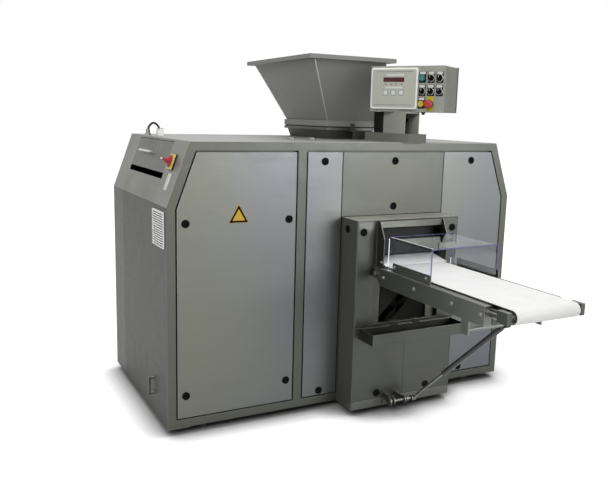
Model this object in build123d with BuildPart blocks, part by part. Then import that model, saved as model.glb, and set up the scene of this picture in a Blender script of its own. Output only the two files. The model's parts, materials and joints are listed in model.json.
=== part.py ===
from build123d import *
import os
from math import cos, hypot, radians, sin

os.makedirs("parts", exist_ok=True)

# Sizes in millimetres. X runs along the cabinet, Y goes from the delivery belt to the rear, Z is up.
# Depths are counted from the front face of the cabinet, positive towards the rear.

# Cabinet
cabinet_length = 1775.0
cabinet_depth = 927.0
cabinet_height = 1200.0
foot_height = 30.0
foot_radius = 22.0
foot_from_end = 167.0
foot_from_front = 62.0
end_inset = 97.0
slant_height = 263.0
sheet = 2.0
seat_gap = 0.3
frame_border = 37.0
frame_depth = 40.0
frame_lip = 10.0
cover_depth = 20.0
cover_gap = 6.5
cover_seam = 2.0
post_from_left = 581.5
post_width = 40.5
mullion_width = 40.0
base_rail_height = 52.0
base_plate = 6.0
end_strip = 188.0
end_panel_width = 555.0
end_handle_reach = 25.0

# Dough lane, the middle of the outlet, and the housing around it
lane_from_left = 1080.5
drum_height = 790.0
bay_half = 278.0
housing_half = 273.0
housing_depth = 136.0
housing_over_drum = 108.0
housing_sheet = 3.0
bottom_rail_height = 38.0
lower_door_top = 415.0
door_seam = 3.0
sill_under_door_top = 35.0
sill_thickness = 30.0
window_half = 181.0
window_over_seam = 9.0
window_over_drum = 75.0
cheek_offset = 168.0
cheek_sheet = 4.0
cheek_under_drum = 93.0
cheek_over_drum = 104.0
cheek_reach = 60.0
cheek_corner = 73.0
cheek_top_reach = 22.0
cheek_foot = 14.0
cheek_foot_sheet = 1.5
flap_pin_behind_cover = 32.0

# Hopper
rim_length = 479.0
rim_depth = 755.0
rim_left_of_lane = 316.0
rim_before_flange = 129.0
rim_height = 20.0
rim_lip_x = 40.0
rim_lip_y = 30.0
hopper_rise = 334.0
hopper_wall = 3.0
flange_length = 297.0
flange_depth = 482.0
flange_from_rear = 49.5
flange_lip = 11.0
flange_over_top_plate = 62.0
flange_thickness = 28.0
seal_thickness = 6.0
throat_flange_thickness = 13.0
throat_wall = 3.0
neck_inset = 26.0
duct_width = 206.0
duct_front = 297.0
duct_rear = 463.0

# Delivery conveyor
belt_width = 300.0
belt_thickness = 2.0
belt_under_drum = 88.0
roller_radius = 24.95
roller_shaft_radius = 10.0
pivot_from_housing = 20.0
roller_from_pivot = 39.0
roller_span = 766.5
frame_half = 187.0
frame_web = 3.0
frame_flange = 35.0
frame_bottom_flange = 20.0
frame_bottom_under_belt = 84.0
frame_top_under_belt = 8.0
frame_from_pivot = 34.0
frame_short_of_tail = 97.0
pivot_under_belt = 40.0
pivot_radius = 8.0
pivot_boss = 18.0
running_gap = 0.05
guard_half = 172.0
guard_sheet = 6.0
guard_height = 144.0
guard_from_pivot = 75.0
guard_length = 296.0
guard_strip_height = 39.0
block_length = 52.0
block_thickness = 20.0
block_height = 44.0

# Gas strut under the conveyor
strut_offset = 19.0
strut_from_tail = 200.0
strut_under_belt = 124.0
strut_from_housing = 65.5
strut_lower_height = 72.0
strut_tube_radius = 11.0
strut_rod_radius = 6.0
strut_tube_length = 474.0
strut_rod_inside = 120.0
strut_bore_depth = 320.0
strut_eye_radius = 15.0
strut_eye_width = 22.0
cross_rod_radius = 8.0

# Catch tray
tray_length = 500.0
tray_shift = 12.0
tray_depth = 103.0
tray_height = 51.0
tray_under_window = 67.0
tray_sheet = 2.0

# Dividing head
side_plate_inner = 150.0
side_plate_thickness = 12.0
head_rear = 690.0
chamber_half = 115.0
chamber_half_height = 90.0
chamber_rear = 480.0
bore_half = 100.0
bore_half_height = 60.0
drum_depth = 10.0
drum_radius = 95.0
drum_half = 112.0
drum_shaft_radius = 25.0
pocket_radius = 40.0
pocket_offset = 52.0
pocket_depth = 83.0
piston_length = 30.0
slide_gap = 0.1
ram_face = 465.0
ram_length = 340.0
ram_stroke = 315.0
ram_rod_offset = 132.5
ram_rod_radius = 12.0
ram_cylinder_radius = 17.2
knife_thickness = 11.5
knife_stroke = 165.0
knife_rod_radius = 5.0
knife_cylinder_radius = 14.5
knife_cylinder_front = 90.0
knife_cylinder_length = 200.0
outlet_flap_half = 158.0
outlet_flap_pin = 4.0

# Works in the side bays
tank_from_bay = 40.0
tank_from_end = 76.5
tank_front = 300.0
tank_rear = 700.0
tank_height = 310.0
motor_depth = 430.0
motor_height = 230.0
valve_front = 540.0
valve_length = 100.0
valve_height = 70.0
switch_plate_front = 148.0
switch_plate_sheet = 3.0
switch_plate_height = 880.0
switch_plate_from_end = 60.0
switch_plate_from_post = 20.0
device_depth = 70.0

# Cover locks
lock_radius = 17.0
lock_proud = 4.0
lock_barrel_radius = 12.0
lock_barrel_length = 16.0
lock_barrel_gap = 0.3
lock_cam_length = 22.0
lock_cam_width = 16.0
lock_cam_thickness = 4.0
lock_from_cover_foot = 21.0
lock_from_cover_head = 40.0
right_lock_share = 0.4

# Control console, turned towards the person who works at the outlet
arm_from_lane = 48.0
arm_width = 99.0
arm_height = 40.0
arm_front = -26.0
arm_from_flange = 45.5
arm_wall = 3.0
pedestal_width = 80.0
pedestal_front = 8.0
pedestal_rear = 186.0
pedestal_height = 100.0
cable_duct_width = 50.0
cable_duct_depth = 86.0
swivel_from_lane = 88.0
swivel_depth = 95.5
swivel_radius = 15.0
console_turn = -57.0
console_width = 366.0
console_height = 208.0
console_depth = 178.0
console_shift = 36.0
console_forward = 38.5
console_wall = 2.0
display_width = 233.0
display_height = 188.0
display_from_left = 8.0
display_from_bottom = 11.0
display_thickness = 18.0
control_columns = [75.0, 116.0, 157.0]
control_rows = [153.0, 94.0, 37.0]
bezel_width = 33.0
bezel_height = 50.0
bezel_thickness = 3.0
bezel_lift = 4.0
estop_plate_height = 66.0
estop_plate_lift = 1.5
stem_radius = 9.0
button_radius = 14.0

# End flap and isolator on the slanted left end
flap_front = 190.0
flap_width = 545.0
slot_low = 105.0
slot_high = 130.0
flap_high = 270.0
flap_hinge_inset = 5.0
flap_barrel_radius = 3.5
flap_bar_middle = 490.0
flap_bar_up_slope = 204.6
flap_bar_length = 190.0
flap_bar_width = 9.0
flap_bar_thickness = 7.0
flap_bar_out = 22.0
flap_bar_feet = 170.0
isolator_depth = 117.0
isolator_up_slope = 184.0
isolator_plate_size = 66.0
isolator_grip_out = 50.0

# Places that follow from the sizes
base_z = foot_height
top_z = base_z + cabinet_height
break_z = top_z - slant_height
left_x = (end_handle_reach - cabinet_length) / 2
right_x = left_x + cabinet_length
lane_x = left_x + lane_from_left
post_left = left_x + post_from_left
post_right = post_left + post_width
bay_left = lane_x - bay_half
bay_right = lane_x + bay_half
housing_top = drum_height + housing_over_drum
sill_height = lower_door_top - sill_under_door_top
upper_cover_bottom = lower_door_top + door_seam
window_bottom = upper_cover_bottom + window_over_seam
window_top = drum_height + window_over_drum
cheek_bottom = drum_height - cheek_under_drum
cheek_top = drum_height + cheek_over_drum
flap_pin_depth = flap_pin_behind_cover - housing_depth
flap_pin_height = window_top - 5
tray_bottom = window_bottom - tray_under_window
chamber_bottom = drum_height - chamber_half_height
chamber_top = drum_height + chamber_half_height
bore_bottom = drum_height - bore_half_height
bore_top = drum_height + bore_half_height
plate_top = base_z + sheet + base_rail_height + base_plate
belt_top = drum_height - belt_under_drum
roller_height = belt_top - belt_thickness - roller_radius - running_gap
pivot_depth = -housing_depth - pivot_from_housing
pivot_height = belt_top - pivot_under_belt
drive_roller_depth = pivot_depth - roller_from_pivot
tail_roller_depth = drive_roller_depth - roller_span
frame_bottom = belt_top - frame_bottom_under_belt
frame_top = belt_top - frame_top_under_belt
frame_inner_end = pivot_depth - frame_from_pivot
frame_outer_end = tail_roller_depth + frame_short_of_tail
guard_inner_end = pivot_depth - guard_from_pivot
guard_outer_end = guard_inner_end - guard_length
strut_upper_depth = tail_roller_depth + strut_from_tail
strut_upper_height = belt_top - strut_under_belt
strut_lower_depth = -housing_depth - strut_from_housing
outfeed_reach = -tail_roller_depth + roller_radius + running_gap + belt_thickness
flange_rear = cabinet_depth - flange_from_rear
flange_front = flange_rear - flange_depth
flange_bottom = top_z + flange_over_top_plate
rim_front = flange_front - rim_before_flange
hopper_rear = rim_front + rim_depth
hopper_top = flange_bottom + hopper_rise
arm_rear = flange_front - arm_from_flange
front_y = (outfeed_reach - hopper_rear) / 2
rear_inside = cabinet_depth - sheet


def depth_plane(depth):
    """The upright plane across the machine at a depth behind the cabinet's front face."""
    return Plane.XZ.offset(-(front_y + depth))


def add_box(x_from, x_to, depth_from, depth_to, z_from, z_to, mode=Mode.ADD):
    """A box between three pairs of limits in the piece being built."""
    middle = ((x_from + x_to) / 2, front_y + (depth_from + depth_to) / 2, (z_from + z_to) / 2)
    with Locations(middle):
        Box(x_to - x_from, depth_to - depth_from, z_to - z_from, mode=mode)


def add_round_x(depth, z, radius, x_from, x_to, mode=Mode.ADD):
    """A round bar along X in the piece being built."""
    with Locations(((x_from + x_to) / 2, front_y + depth, z)):
        Cylinder(radius, x_to - x_from, rotation=(0, 90, 0), mode=mode)


def add_round_y(x, z, radius, depth_from, depth_to, mode=Mode.ADD):
    """A round bar along Y in the piece being built."""
    with Locations((x, front_y + (depth_from + depth_to) / 2, z)):
        Cylinder(radius, depth_to - depth_from, rotation=(90, 0, 0), mode=mode)


def add_round_z(x, depth, radius, z_from, z_to, mode=Mode.ADD):
    """A round bar along Z in the piece being built."""
    with Locations((x, front_y + depth, (z_from + z_to) / 2)):
        Cylinder(radius, z_to - z_from, mode=mode)


def cabinet_outline(inset, x_from=left_x, x_to=right_x, z_from=base_z, z_to=top_z):
    """The cabinet seen from the front, drawn in by inset and kept only between the limits given."""
    with BuildSketch() as outline:
        with BuildLine():
            Polyline(
                (left_x, base_z),
                (right_x, base_z),
                (right_x, break_z),
                (right_x - end_inset, top_z),
                (left_x + end_inset, top_z),
                (left_x, break_z),
                close=True,
            )
        make_face()
        if inset > 0:
            offset(amount=-inset, kind=Kind.INTERSECTION)
        with Locations(((x_from + x_to) / 2, (z_from + z_to) / 2)):
            Rectangle(x_to - x_from, z_to - z_from, mode=Mode.INTERSECT)
    return outline.sketch


def cabinet_skin(x_from, x_to, z_from, z_to):
    """The cut edge of the outer sheet between the limits given."""
    with BuildSketch() as skin:
        add(cabinet_outline(0, x_from, x_to, z_from, z_to))
        add(cabinet_outline(sheet, x_from, x_to, z_from, z_to), mode=Mode.SUBTRACT)
    return skin.sketch


# Cabinet body

# The slanted upper part of the left end: local x runs towards the front, local y runs up the slope.
slant_length = hypot(end_inset, slant_height)


def slant_plane(out):
    """A plane parallel to the slanted left end, standing out from it by out."""
    normal = (-slant_height / slant_length, 0, end_inset / slant_length)
    origin = (left_x + out * normal[0], front_y, break_z + out * normal[2])
    return Plane(origin=origin, x_dir=(0, -1, 0), z_dir=normal)


with BuildPart() as base_frame:
    rail_x = left_x + sheet + seat_gap
    rail_end = right_x - sheet - seat_gap
    rail_front = frame_depth + seat_gap
    rail_rear = rear_inside - seat_gap
    rail_low = base_z + sheet
    rail_high = rail_low + base_rail_height
    add_box(rail_x, rail_end, rail_front, rail_rear, rail_low, rail_high)
    rail_width = 40.0
    rail_stops = [rail_x, post_left, bay_right, rail_end - rail_width]
    for bay_from, bay_to in zip(rail_stops, rail_stops[1:]):
        add_box(
            bay_from + rail_width, bay_to, rail_front + rail_width, rail_rear - rail_width,
            rail_low, rail_high, Mode.SUBTRACT,
        )
    add_box(rail_x, rail_end, rail_front, rail_rear, rail_high, plate_top)

with BuildPart() as levelling_feet:
    for foot_x in (left_x + foot_from_end, right_x - foot_from_end):
        for foot_depth in (foot_from_front, rail_rear - 20):
            add_round_z(foot_x, foot_depth, foot_radius, 0, 12)
            add_round_z(foot_x, foot_depth, 8, 12, base_z + sheet)

with BuildPart() as front_frame:
    low = base_z + frame_border
    high = top_z - frame_border
    seat_depth = cover_depth + seat_gap
    with BuildSketch(depth_plane(0)):
        add(cabinet_outline(sheet + seat_gap))
        add(cabinet_outline(frame_border, left_x, post_left, low, high), mode=Mode.SUBTRACT)
        add(cabinet_outline(frame_border, post_right, right_x, low, high), mode=Mode.SUBTRACT)
    extrude(amount=-seat_depth)
    half_mullion = mullion_width / 2
    bays = [
        (left_x, post_left - frame_lip, low + frame_lip, high - frame_lip),
        (post_right + frame_lip, bay_left - half_mullion, low + frame_lip, high - frame_lip),
        (bay_left + half_mullion, bay_right - half_mullion, housing_top + half_mullion, high - frame_lip),
        (bay_left + half_mullion, bay_right - half_mullion, low + frame_lip, housing_top - frame_lip + sheet),
        (bay_right + half_mullion, right_x, low + frame_lip, high - frame_lip),
    ]
    with BuildSketch(depth_plane(seat_depth)):
        add(cabinet_outline(sheet + seat_gap))
        for x_from, x_to, z_from, z_to in bays:
            add(cabinet_outline(frame_border + frame_lip, x_from, x_to, z_from, z_to), mode=Mode.SUBTRACT)
    extrude(amount=-(frame_depth - seat_depth))

with BuildPart() as left_end_panel:
    with BuildSketch(depth_plane(0)):
        add(cabinet_skin(left_x, left_x + end_inset, base_z, top_z))
    extrude(amount=-cabinet_depth)
    opening_middle = flap_front + flap_width / 2
    with BuildSketch(slant_plane(5)):
        with Locations((-opening_middle, (slot_low + flap_high) / 2)):
            Rectangle(flap_width, flap_high - slot_low)
    extrude(amount=-20, mode=Mode.SUBTRACT)
    # Shallow seams where the centre sheet meets the two border strips.
    for seam in (end_strip, end_strip + end_panel_width):
        add_box(left_x, left_x + 1, seam - 1.5, seam + 1.5, base_z, break_z, Mode.SUBTRACT)
    handle_depth = end_strip + 29
    handle_low = base_z + 84
    handle_high = base_z + 166
    handle_x = left_x - end_handle_reach
    for leg_z in (handle_low + 6, handle_high - 6):
        add_round_x(handle_depth, leg_z, 6, handle_x + 6, left_x + 1)
    add_round_z(handle_x + 6, handle_depth, 6, handle_low, handle_high)

with BuildPart() as right_end_panel:
    with BuildSketch(depth_plane(0)):
        add(cabinet_skin(right_x - end_inset, right_x, base_z, top_z))
    extrude(amount=-cabinet_depth)

# Hopper and throat share one set of limits.
flange_left = lane_x - flange_length / 2
flange_right = lane_x + flange_length / 2
flange_middle = (flange_front + flange_rear) / 2
throat_top = flange_bottom - seal_thickness
throat_flange_bottom = throat_top - throat_flange_thickness
neck_width = flange_length - 2 * neck_inset
neck_depth = flange_depth - 2 * neck_inset
knife_low = chamber_top + seat_gap
duct_bottom = knife_low + knife_thickness + seat_gap
neck_low = top_z - 10

with BuildPart() as top_plate:
    with BuildSketch(depth_plane(0)):
        add(cabinet_skin(left_x + end_inset, right_x - end_inset, break_z, top_z))
    extrude(amount=-cabinet_depth)
    hole_gap = 2 * seat_gap
    with Locations((lane_x, front_y + flange_middle, top_z)):
        Box(neck_width + hole_gap, neck_depth + hole_gap, 40, mode=Mode.SUBTRACT)

with BuildPart() as rear_panel:
    with BuildSketch(depth_plane(cabinet_depth)):
        add(cabinet_outline(sheet + seat_gap))
    extrude(amount=sheet)

# Covers, shallow pans that fill the openings of the front frame
cover_low = base_z + frame_border + cover_gap
cover_high = top_z - frame_border - cover_gap
lock_low = cover_low + lock_from_cover_foot
lock_high = cover_high - lock_from_cover_head
left_lock_columns = [left_x + 79.5, post_left - 39]
left_locks = [(x, z) for x in left_lock_columns for z in (cover_low + 96.5, break_z - 67)]
narrow_lock_x = (post_right + bay_left) / 2
narrow_locks = [(narrow_lock_x, lock_low), (narrow_lock_x, lock_high)]
upper_locks = [(lane_x, housing_top + lock_from_cover_head), (lane_x, lock_high)]
right_lock_x = bay_right + right_lock_share * (right_x - bay_right)
right_locks = [(right_lock_x, lock_low), (right_lock_x, lock_high)]


def cover_pan(x_from, x_to, z_from, z_to, locks):
    """A cover with folded edges, open at the back, drilled for its locks."""
    edge = frame_border + cover_gap
    inside = edge + sheet
    with BuildPart() as pan:
        with BuildSketch(depth_plane(0)):
            add(cabinet_outline(edge, x_from, x_to, z_from, z_to))
        extrude(amount=-cover_depth)
        with BuildSketch(depth_plane(sheet)):
            add(cabinet_outline(inside, x_from + sheet, x_to - sheet, z_from + sheet, z_to - sheet))
        extrude(amount=-cover_depth, mode=Mode.SUBTRACT)
        for x, z in locks:
            add_round_y(x, z, lock_barrel_radius + lock_barrel_gap, -1, sheet + 1, Mode.SUBTRACT)
    return pan


left_cover = cover_pan(left_x, post_left - cover_gap, cover_low, cover_high, left_locks)
narrow_cover = cover_pan(post_right + cover_gap, bay_left - cover_seam, cover_low, cover_high, narrow_locks)
upper_cover = cover_pan(
    bay_left + cover_seam, bay_right - cover_seam, housing_top + cover_seam, cover_high, upper_locks
)
right_cover = cover_pan(bay_right + cover_seam, right_x, cover_low, cover_high, right_locks)

# Outfeed housing in front of the cabinet
housing_left = lane_x - housing_half
housing_right = lane_x + housing_half

with BuildPart() as outfeed_housing:
    inner_left = housing_left + housing_sheet
    inner_right = housing_right - housing_sheet
    inner_top = housing_top - housing_sheet
    add_box(housing_left, housing_right, -housing_depth, cover_depth, base_z, housing_top)
    add_box(
        inner_left, inner_right, -housing_depth - 1, cover_depth + 1, base_z - 1, inner_top, Mode.SUBTRACT,
    )
    add_box(inner_left, inner_right, -housing_depth, 0, base_z, base_z + housing_sheet)
    rail_back = cover_depth - housing_depth
    add_box(inner_left, inner_right, -housing_depth, rail_back, base_z, base_z + bottom_rail_height)
    sill_front = -housing_depth + cover_depth + seat_gap
    add_box(inner_left, inner_right, sill_front, sill_front + 30, sill_height, sill_height + sill_thickness)
    # The lower border of the front frame passes behind the housing.
    border_top = base_z + frame_border + seat_gap
    add_box(housing_left - 1, housing_right + 1, 0, cover_depth + 1, base_z - 1, border_top, Mode.SUBTRACT)
    # Ears that carry the pin of the outlet flap.
    for side in (-1, 1):
        ear_near = lane_x + side * (outlet_flap_half + 2)
        ear_far = ear_near + side * 6
        ear_from, ear_to = sorted((ear_near, ear_far))
        add_box(ear_from, ear_to, flap_pin_depth - 10, flap_pin_depth + 10, flap_pin_height - 10, inner_top)
        pin_hole = outlet_flap_pin + running_gap
        add_round_x(flap_pin_depth, flap_pin_height, pin_hole, ear_from - 1, ear_to + 1, Mode.SUBTRACT)
    side_lock_depth = -54.5
    side_lock_height = housing_top - 46
    barrel_hole = lock_barrel_radius + lock_barrel_gap
    add_round_x(
        side_lock_depth, side_lock_height, barrel_hole, housing_left - 1, inner_left + 1, Mode.SUBTRACT,
    )

housing_lock_height = housing_top - 51
housing_front_locks = [(lane_x - 241, housing_lock_height), (lane_x + 241, housing_lock_height)]
door_split = lane_x + 3
door_locks = [(lane_x - 140, base_z + 66), (lane_x + 136, base_z + 66)]

with BuildPart() as housing_covers:
    pan_left = housing_left + housing_sheet + cover_seam
    pan_right = housing_right - housing_sheet - cover_seam
    pan_front = -housing_depth
    pan_rear = pan_front + cover_depth
    door_low = base_z + bottom_rail_height + cover_seam
    pan_limits = [
        (pan_left, pan_right, upper_cover_bottom, housing_top - housing_sheet - cover_seam),
        (pan_left, door_split - 1, door_low, lower_door_top),
        (door_split + 1, pan_right, door_low, lower_door_top),
    ]
    for x_from, x_to, z_from, z_to in pan_limits:
        add_box(x_from, x_to, pan_front, pan_rear, z_from, z_to)
        add_box(
            x_from + sheet, x_to - sheet, pan_front + sheet, pan_rear + 1,
            z_from + sheet, z_to - sheet, Mode.SUBTRACT,
        )
    # The outlet window has folded edges as deep as the cover.
    window_left = lane_x - window_half
    window_right = lane_x + window_half
    add_box(
        window_left - sheet, window_right + sheet, pan_front, pan_rear, upper_cover_bottom, window_top + sheet
    )
    add_box(
        window_left, window_right, pan_front - 1, pan_rear + 1, window_bottom, window_top, Mode.SUBTRACT
    )
    # A folded hood over the outlet, between the two cheeks.
    hood_half = cheek_offset - 2
    add_box(
        lane_x - hood_half, lane_x + hood_half, pan_front - 16, pan_front, window_top + 25, window_top + 28,
    )
    add_box(
        lane_x - hood_half, lane_x + hood_half, pan_front - 18, pan_front - 16, window_top, window_top + 28,
    )
    for x, z in housing_front_locks + door_locks:
        add_round_y(x, z, barrel_hole, pan_front - 1, pan_front + sheet + 1, Mode.SUBTRACT)

with BuildPart() as cover_locks:
    lock_places = [(x, z, 0) for x, z in left_locks + narrow_locks + upper_locks + right_locks]
    lock_places += [(x, z, -housing_depth) for x, z in housing_front_locks + door_locks]
    for x, z, face in lock_places:
        add_round_y(x, z, lock_radius, face - lock_proud, face)
        barrel_end = face + lock_barrel_length
        add_round_y(x, z, lock_barrel_radius, face, barrel_end)
        cam_half = lock_cam_width / 2
        add_box(
            x - cam_half, x + cam_half, barrel_end - lock_cam_thickness, barrel_end, z, z + lock_cam_length,
        )
    side_barrel_end = housing_left + lock_barrel_length
    add_round_x(side_lock_depth, side_lock_height, lock_radius, housing_left - lock_proud, housing_left)
    add_round_x(side_lock_depth, side_lock_height, lock_barrel_radius, housing_left, side_barrel_end)

with BuildPart() as filter_grille:
    grille_front = 32.0
    grille_size = 150.0
    grille_low = break_z - 171
    grille_thickness = 10.0
    grille_rear = grille_front + grille_size
    grille_high = grille_low + grille_size
    add_box(left_x - grille_thickness, left_x, grille_front, grille_rear, grille_low, grille_high)
    slot_count = 9
    slot_pitch = (grille_size - 20) / slot_count
    for number in range(slot_count):
        slot_z = grille_low + 10 + slot_pitch * (number + 0.5)
        add_box(
            left_x - grille_thickness - 1, left_x - 4, grille_front + 10, grille_rear - 10,
            slot_z - 3.5, slot_z + 3.5, Mode.SUBTRACT,
        )

# Outlet cheeks, cut-off plates on both sides of the outlet, each with a foot flange on the cover,
# joined by the chute floor over which a portion slides from the drum to the belt
chute_drum_end = drum_depth - drum_radius - 7
chute_belt_end = -housing_depth - 36
chute_belt_height = belt_top + 7
chute_drum_height = chute_belt_height + 17
chute_sheet = 3.0

with BuildPart() as outlet_cheeks:
    cover_face = front_y - housing_depth
    cheek_front = cover_face - cheek_reach
    for side in (-1, 1):
        cheek_x = lane_x + side * cheek_offset
        with BuildSketch(Plane.YZ.offset(cheek_x)):
            with BuildLine():
                Polyline(
                    (cover_face, cheek_top),
                    (cover_face, cheek_bottom),
                    (cheek_front + 4, cheek_bottom),
                    (cheek_front, cheek_top - cheek_corner),
                    (cover_face - cheek_top_reach, cheek_top),
                    close=True,
                )
            make_face()
        extrude(amount=side * cheek_sheet)
        foot_from, foot_to = sorted((cheek_x, lane_x + side * (window_half + cheek_foot)))
        foot_front = -housing_depth - cheek_foot_sheet
        add_box(foot_from, foot_to, foot_front, -housing_depth, cheek_bottom, cheek_top - 8)
    with BuildSketch(Plane.YZ.offset(lane_x - cheek_offset)):
        with BuildLine():
            Polyline(
                (front_y + chute_drum_end, chute_drum_height),
                (front_y + chute_belt_end, chute_belt_height),
                (front_y + chute_belt_end, chute_belt_height - chute_sheet),
                (front_y + chute_drum_end, chute_drum_height - chute_sheet),
                close=True,
            )
        make_face()
    extrude(amount=2 * cheek_offset)

# Brackets in the outlet window that carry the conveyor pivot
with BuildPart() as conveyor_brackets:
    upright_top = pivot_height + 28
    upright_front = 24 - housing_depth
    upright_rear = upright_front + 6
    web_inner = frame_half - frame_web
    for side in (-1, 1):
        outer = lane_x + side * (window_half - 2)
        upright_from, upright_to = sorted((outer, outer - side * 48))
        add_box(
            upright_from, upright_to, upright_front, upright_rear, sill_height + sill_thickness, upright_top
        )
        ear_from, ear_to = sorted((outer, outer - side * 6))
        add_box(ear_from, ear_to, pivot_depth, upright_rear, pivot_height - 16, pivot_height + 16)
        add_round_x(pivot_depth, pivot_height, 16, ear_from, ear_to)
        shoulder_from, shoulder_to = sorted((outer, lane_x + side * (web_inner - seat_gap)))
        add_round_x(pivot_depth, pivot_height, 12, shoulder_from, shoulder_to)
        head_face = lane_x + side * (frame_half + seat_gap)
        pin_from, pin_to = sorted((outer, head_face))
        add_round_x(pivot_depth, pivot_height, pivot_radius, pin_from, pin_to)
        head_from, head_to = sorted((head_face, head_face + side * 8))
        add_round_x(pivot_depth, pivot_height, 13, head_from, head_to)

# Anchor of the gas strut on the bottom rail of the housing
strut_x = lane_x + strut_offset
socket_half = strut_eye_width / 2

with BuildPart() as strut_anchor:
    anchor_left = lane_x - 108
    anchor_right = lane_x - 22
    rail_face = -housing_depth
    add_box(anchor_left, anchor_right, rail_face - 6, rail_face, base_z + 4, base_z + bottom_rail_height - 4)
    for lug_x in (anchor_left + 18, anchor_right - 10):
        add_box(
            lug_x - 3, lug_x + 3, strut_lower_depth, rail_face,
            strut_lower_height - 18, strut_lower_height + 14,
        )
        add_round_x(strut_lower_depth, strut_lower_height, 18, lug_x - 3, lug_x + 3)
    pin_end = strut_x - socket_half - seat_gap
    add_round_x(strut_lower_depth, strut_lower_height, 7, anchor_left, pin_end)
    add_round_x(strut_lower_depth, strut_lower_height, 20, anchor_left - 6, anchor_left)
    add_round_x(strut_lower_depth, strut_lower_height, 13, anchor_right, anchor_right + 12)

# Feed throat, from the hopper flange through the top plate down to the chamber
with BuildPart() as feed_throat:
    with BuildSketch(Plane.XY.offset(throat_flange_bottom)):
        with Locations((lane_x, front_y + flange_middle)):
            Rectangle(flange_length, flange_depth)
    extrude(amount=throat_flange_thickness)
    duct_middle = (duct_front + duct_rear) / 2
    # The neck narrows evenly and has the width of its hole where it goes through the top plate.
    neck_flare = 24.0
    neck_taper = neck_flare * (top_z - neck_low) / (throat_flange_bottom - top_z)
    throat_sections = [
        (throat_flange_bottom, neck_width + neck_flare, neck_depth + neck_flare, flange_middle),
        (neck_low, neck_width - neck_taper, neck_depth - neck_taper, flange_middle),
        (duct_bottom, duct_width, duct_rear - duct_front, duct_middle),
    ]
    for upper, lower in zip(throat_sections, throat_sections[1:]):
        for z, width, depth, middle in (upper, lower):
            with BuildSketch(Plane.XY.offset(z)):
                with Locations((lane_x, front_y + middle)):
                    Rectangle(width, depth)
        loft(ruled=True)
    for upper, lower in zip(throat_sections, throat_sections[1:]):
        for z, width, depth, middle in (upper, lower):
            with BuildSketch(Plane.XY.offset(z)):
                with Locations((lane_x, front_y + middle)):
                    Rectangle(width - 2 * throat_wall, depth - 2 * throat_wall)
        loft(ruled=True, mode=Mode.SUBTRACT)
    mouth_width = neck_width + neck_flare - 2 * throat_wall
    mouth_depth = neck_depth + neck_flare - 2 * throat_wall
    with BuildSketch(Plane.XY.offset(throat_flange_bottom)):
        with Locations((lane_x, front_y + flange_middle)):
            Rectangle(mouth_width, mouth_depth)
    extrude(amount=throat_flange_thickness, mode=Mode.SUBTRACT)

with BuildPart() as hopper_seal:
    with BuildSketch(Plane.XY.offset(throat_top)):
        with Locations((lane_x, front_y + flange_middle)):
            Rectangle(flange_length - 8, flange_depth - 8)
            Rectangle(mouth_width + 4, mouth_depth + 4, mode=Mode.SUBTRACT)
    extrude(amount=seal_thickness - seat_gap)

with BuildPart() as hopper_bracket:
    bracket_x = lane_x - 3
    bracket_front = flange_front - 50
    bracket_top = throat_flange_bottom - seat_gap
    add_box(bracket_x - 20, bracket_x + 20, bracket_front, bracket_front + 6, top_z, bracket_top)
    add_box(bracket_x - 20, bracket_x + 20, bracket_front, flange_front + 12, bracket_top - 6, bracket_top)
    add_box(bracket_x - 20, bracket_x + 20, bracket_front, bracket_front + 50, top_z, top_z + 5)
    add_box(
        bracket_x - 11, bracket_x + 11, flange_front - 10, flange_front - 4, bracket_top, flange_bottom + 16,
    )

# Hopper, a lofted funnel with a broad rim and a bolting flange, lifted off for cleaning
body_low = flange_bottom + flange_thickness
body_high = hopper_top - rim_height
rim_middle_x = lane_x - rim_left_of_lane + rim_length / 2
rim_middle_y = front_y + rim_front + rim_depth / 2
body_foot = (flange_length - 2 * flange_lip, flange_depth - 2 * flange_lip)
body_head = (rim_length - 2 * rim_lip_x, rim_depth - 2 * rim_lip_y)
foot_place = (lane_x, front_y + flange_middle)
head_place = (rim_middle_x, rim_middle_y)

with BuildPart() as hopper:
    with BuildSketch(Plane.XY.offset(body_low)):
        with Locations(foot_place):
            Rectangle(*body_foot)
    with BuildSketch(Plane.XY.offset(body_high)):
        with Locations(head_place):
            Rectangle(*body_head)
    loft(ruled=True)
    with BuildSketch(Plane.XY.offset(flange_bottom)):
        with Locations(foot_place):
            Rectangle(flange_length, flange_depth)
    extrude(amount=flange_thickness)
    with BuildSketch(Plane.XY.offset(body_high)):
        with Locations(head_place):
            Rectangle(rim_length, rim_depth)
    extrude(amount=rim_height)
    with BuildSketch(Plane.XY.offset(body_low)):
        with Locations(foot_place):
            Rectangle(body_foot[0] - 2 * hopper_wall, body_foot[1] - 2 * hopper_wall)
    with BuildSketch(Plane.XY.offset(body_high)):
        with Locations(head_place):
            Rectangle(body_head[0] - 2 * hopper_wall, body_head[1] - 2 * hopper_wall)
    loft(ruled=True, mode=Mode.SUBTRACT)
    with BuildSketch(Plane.XY.offset(flange_bottom)):
        with Locations(foot_place):
            Rectangle(body_foot[0] - 2 * hopper_wall, body_foot[1] - 2 * hopper_wall)
    extrude(amount=flange_thickness, mode=Mode.SUBTRACT)
    with BuildSketch(Plane.XY.offset(body_high)):
        with Locations(head_place):
            Rectangle(body_head[0] - 2 * hopper_wall, body_head[1] - 2 * hopper_wall)
    extrude(amount=rim_height, mode=Mode.SUBTRACT)

# Console arm and pedestal on the top plate
arm_left = lane_x + arm_from_lane
arm_right = arm_left + arm_width
arm_top = top_z + arm_height
pedestal_left = lane_x + swivel_from_lane - pedestal_width / 2
pedestal_right = pedestal_left + pedestal_width
pedestal_top = arm_top + pedestal_height
swivel_x = lane_x + swivel_from_lane
swivel_y = front_y + swivel_depth
console_low = pedestal_top + seat_gap

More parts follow.
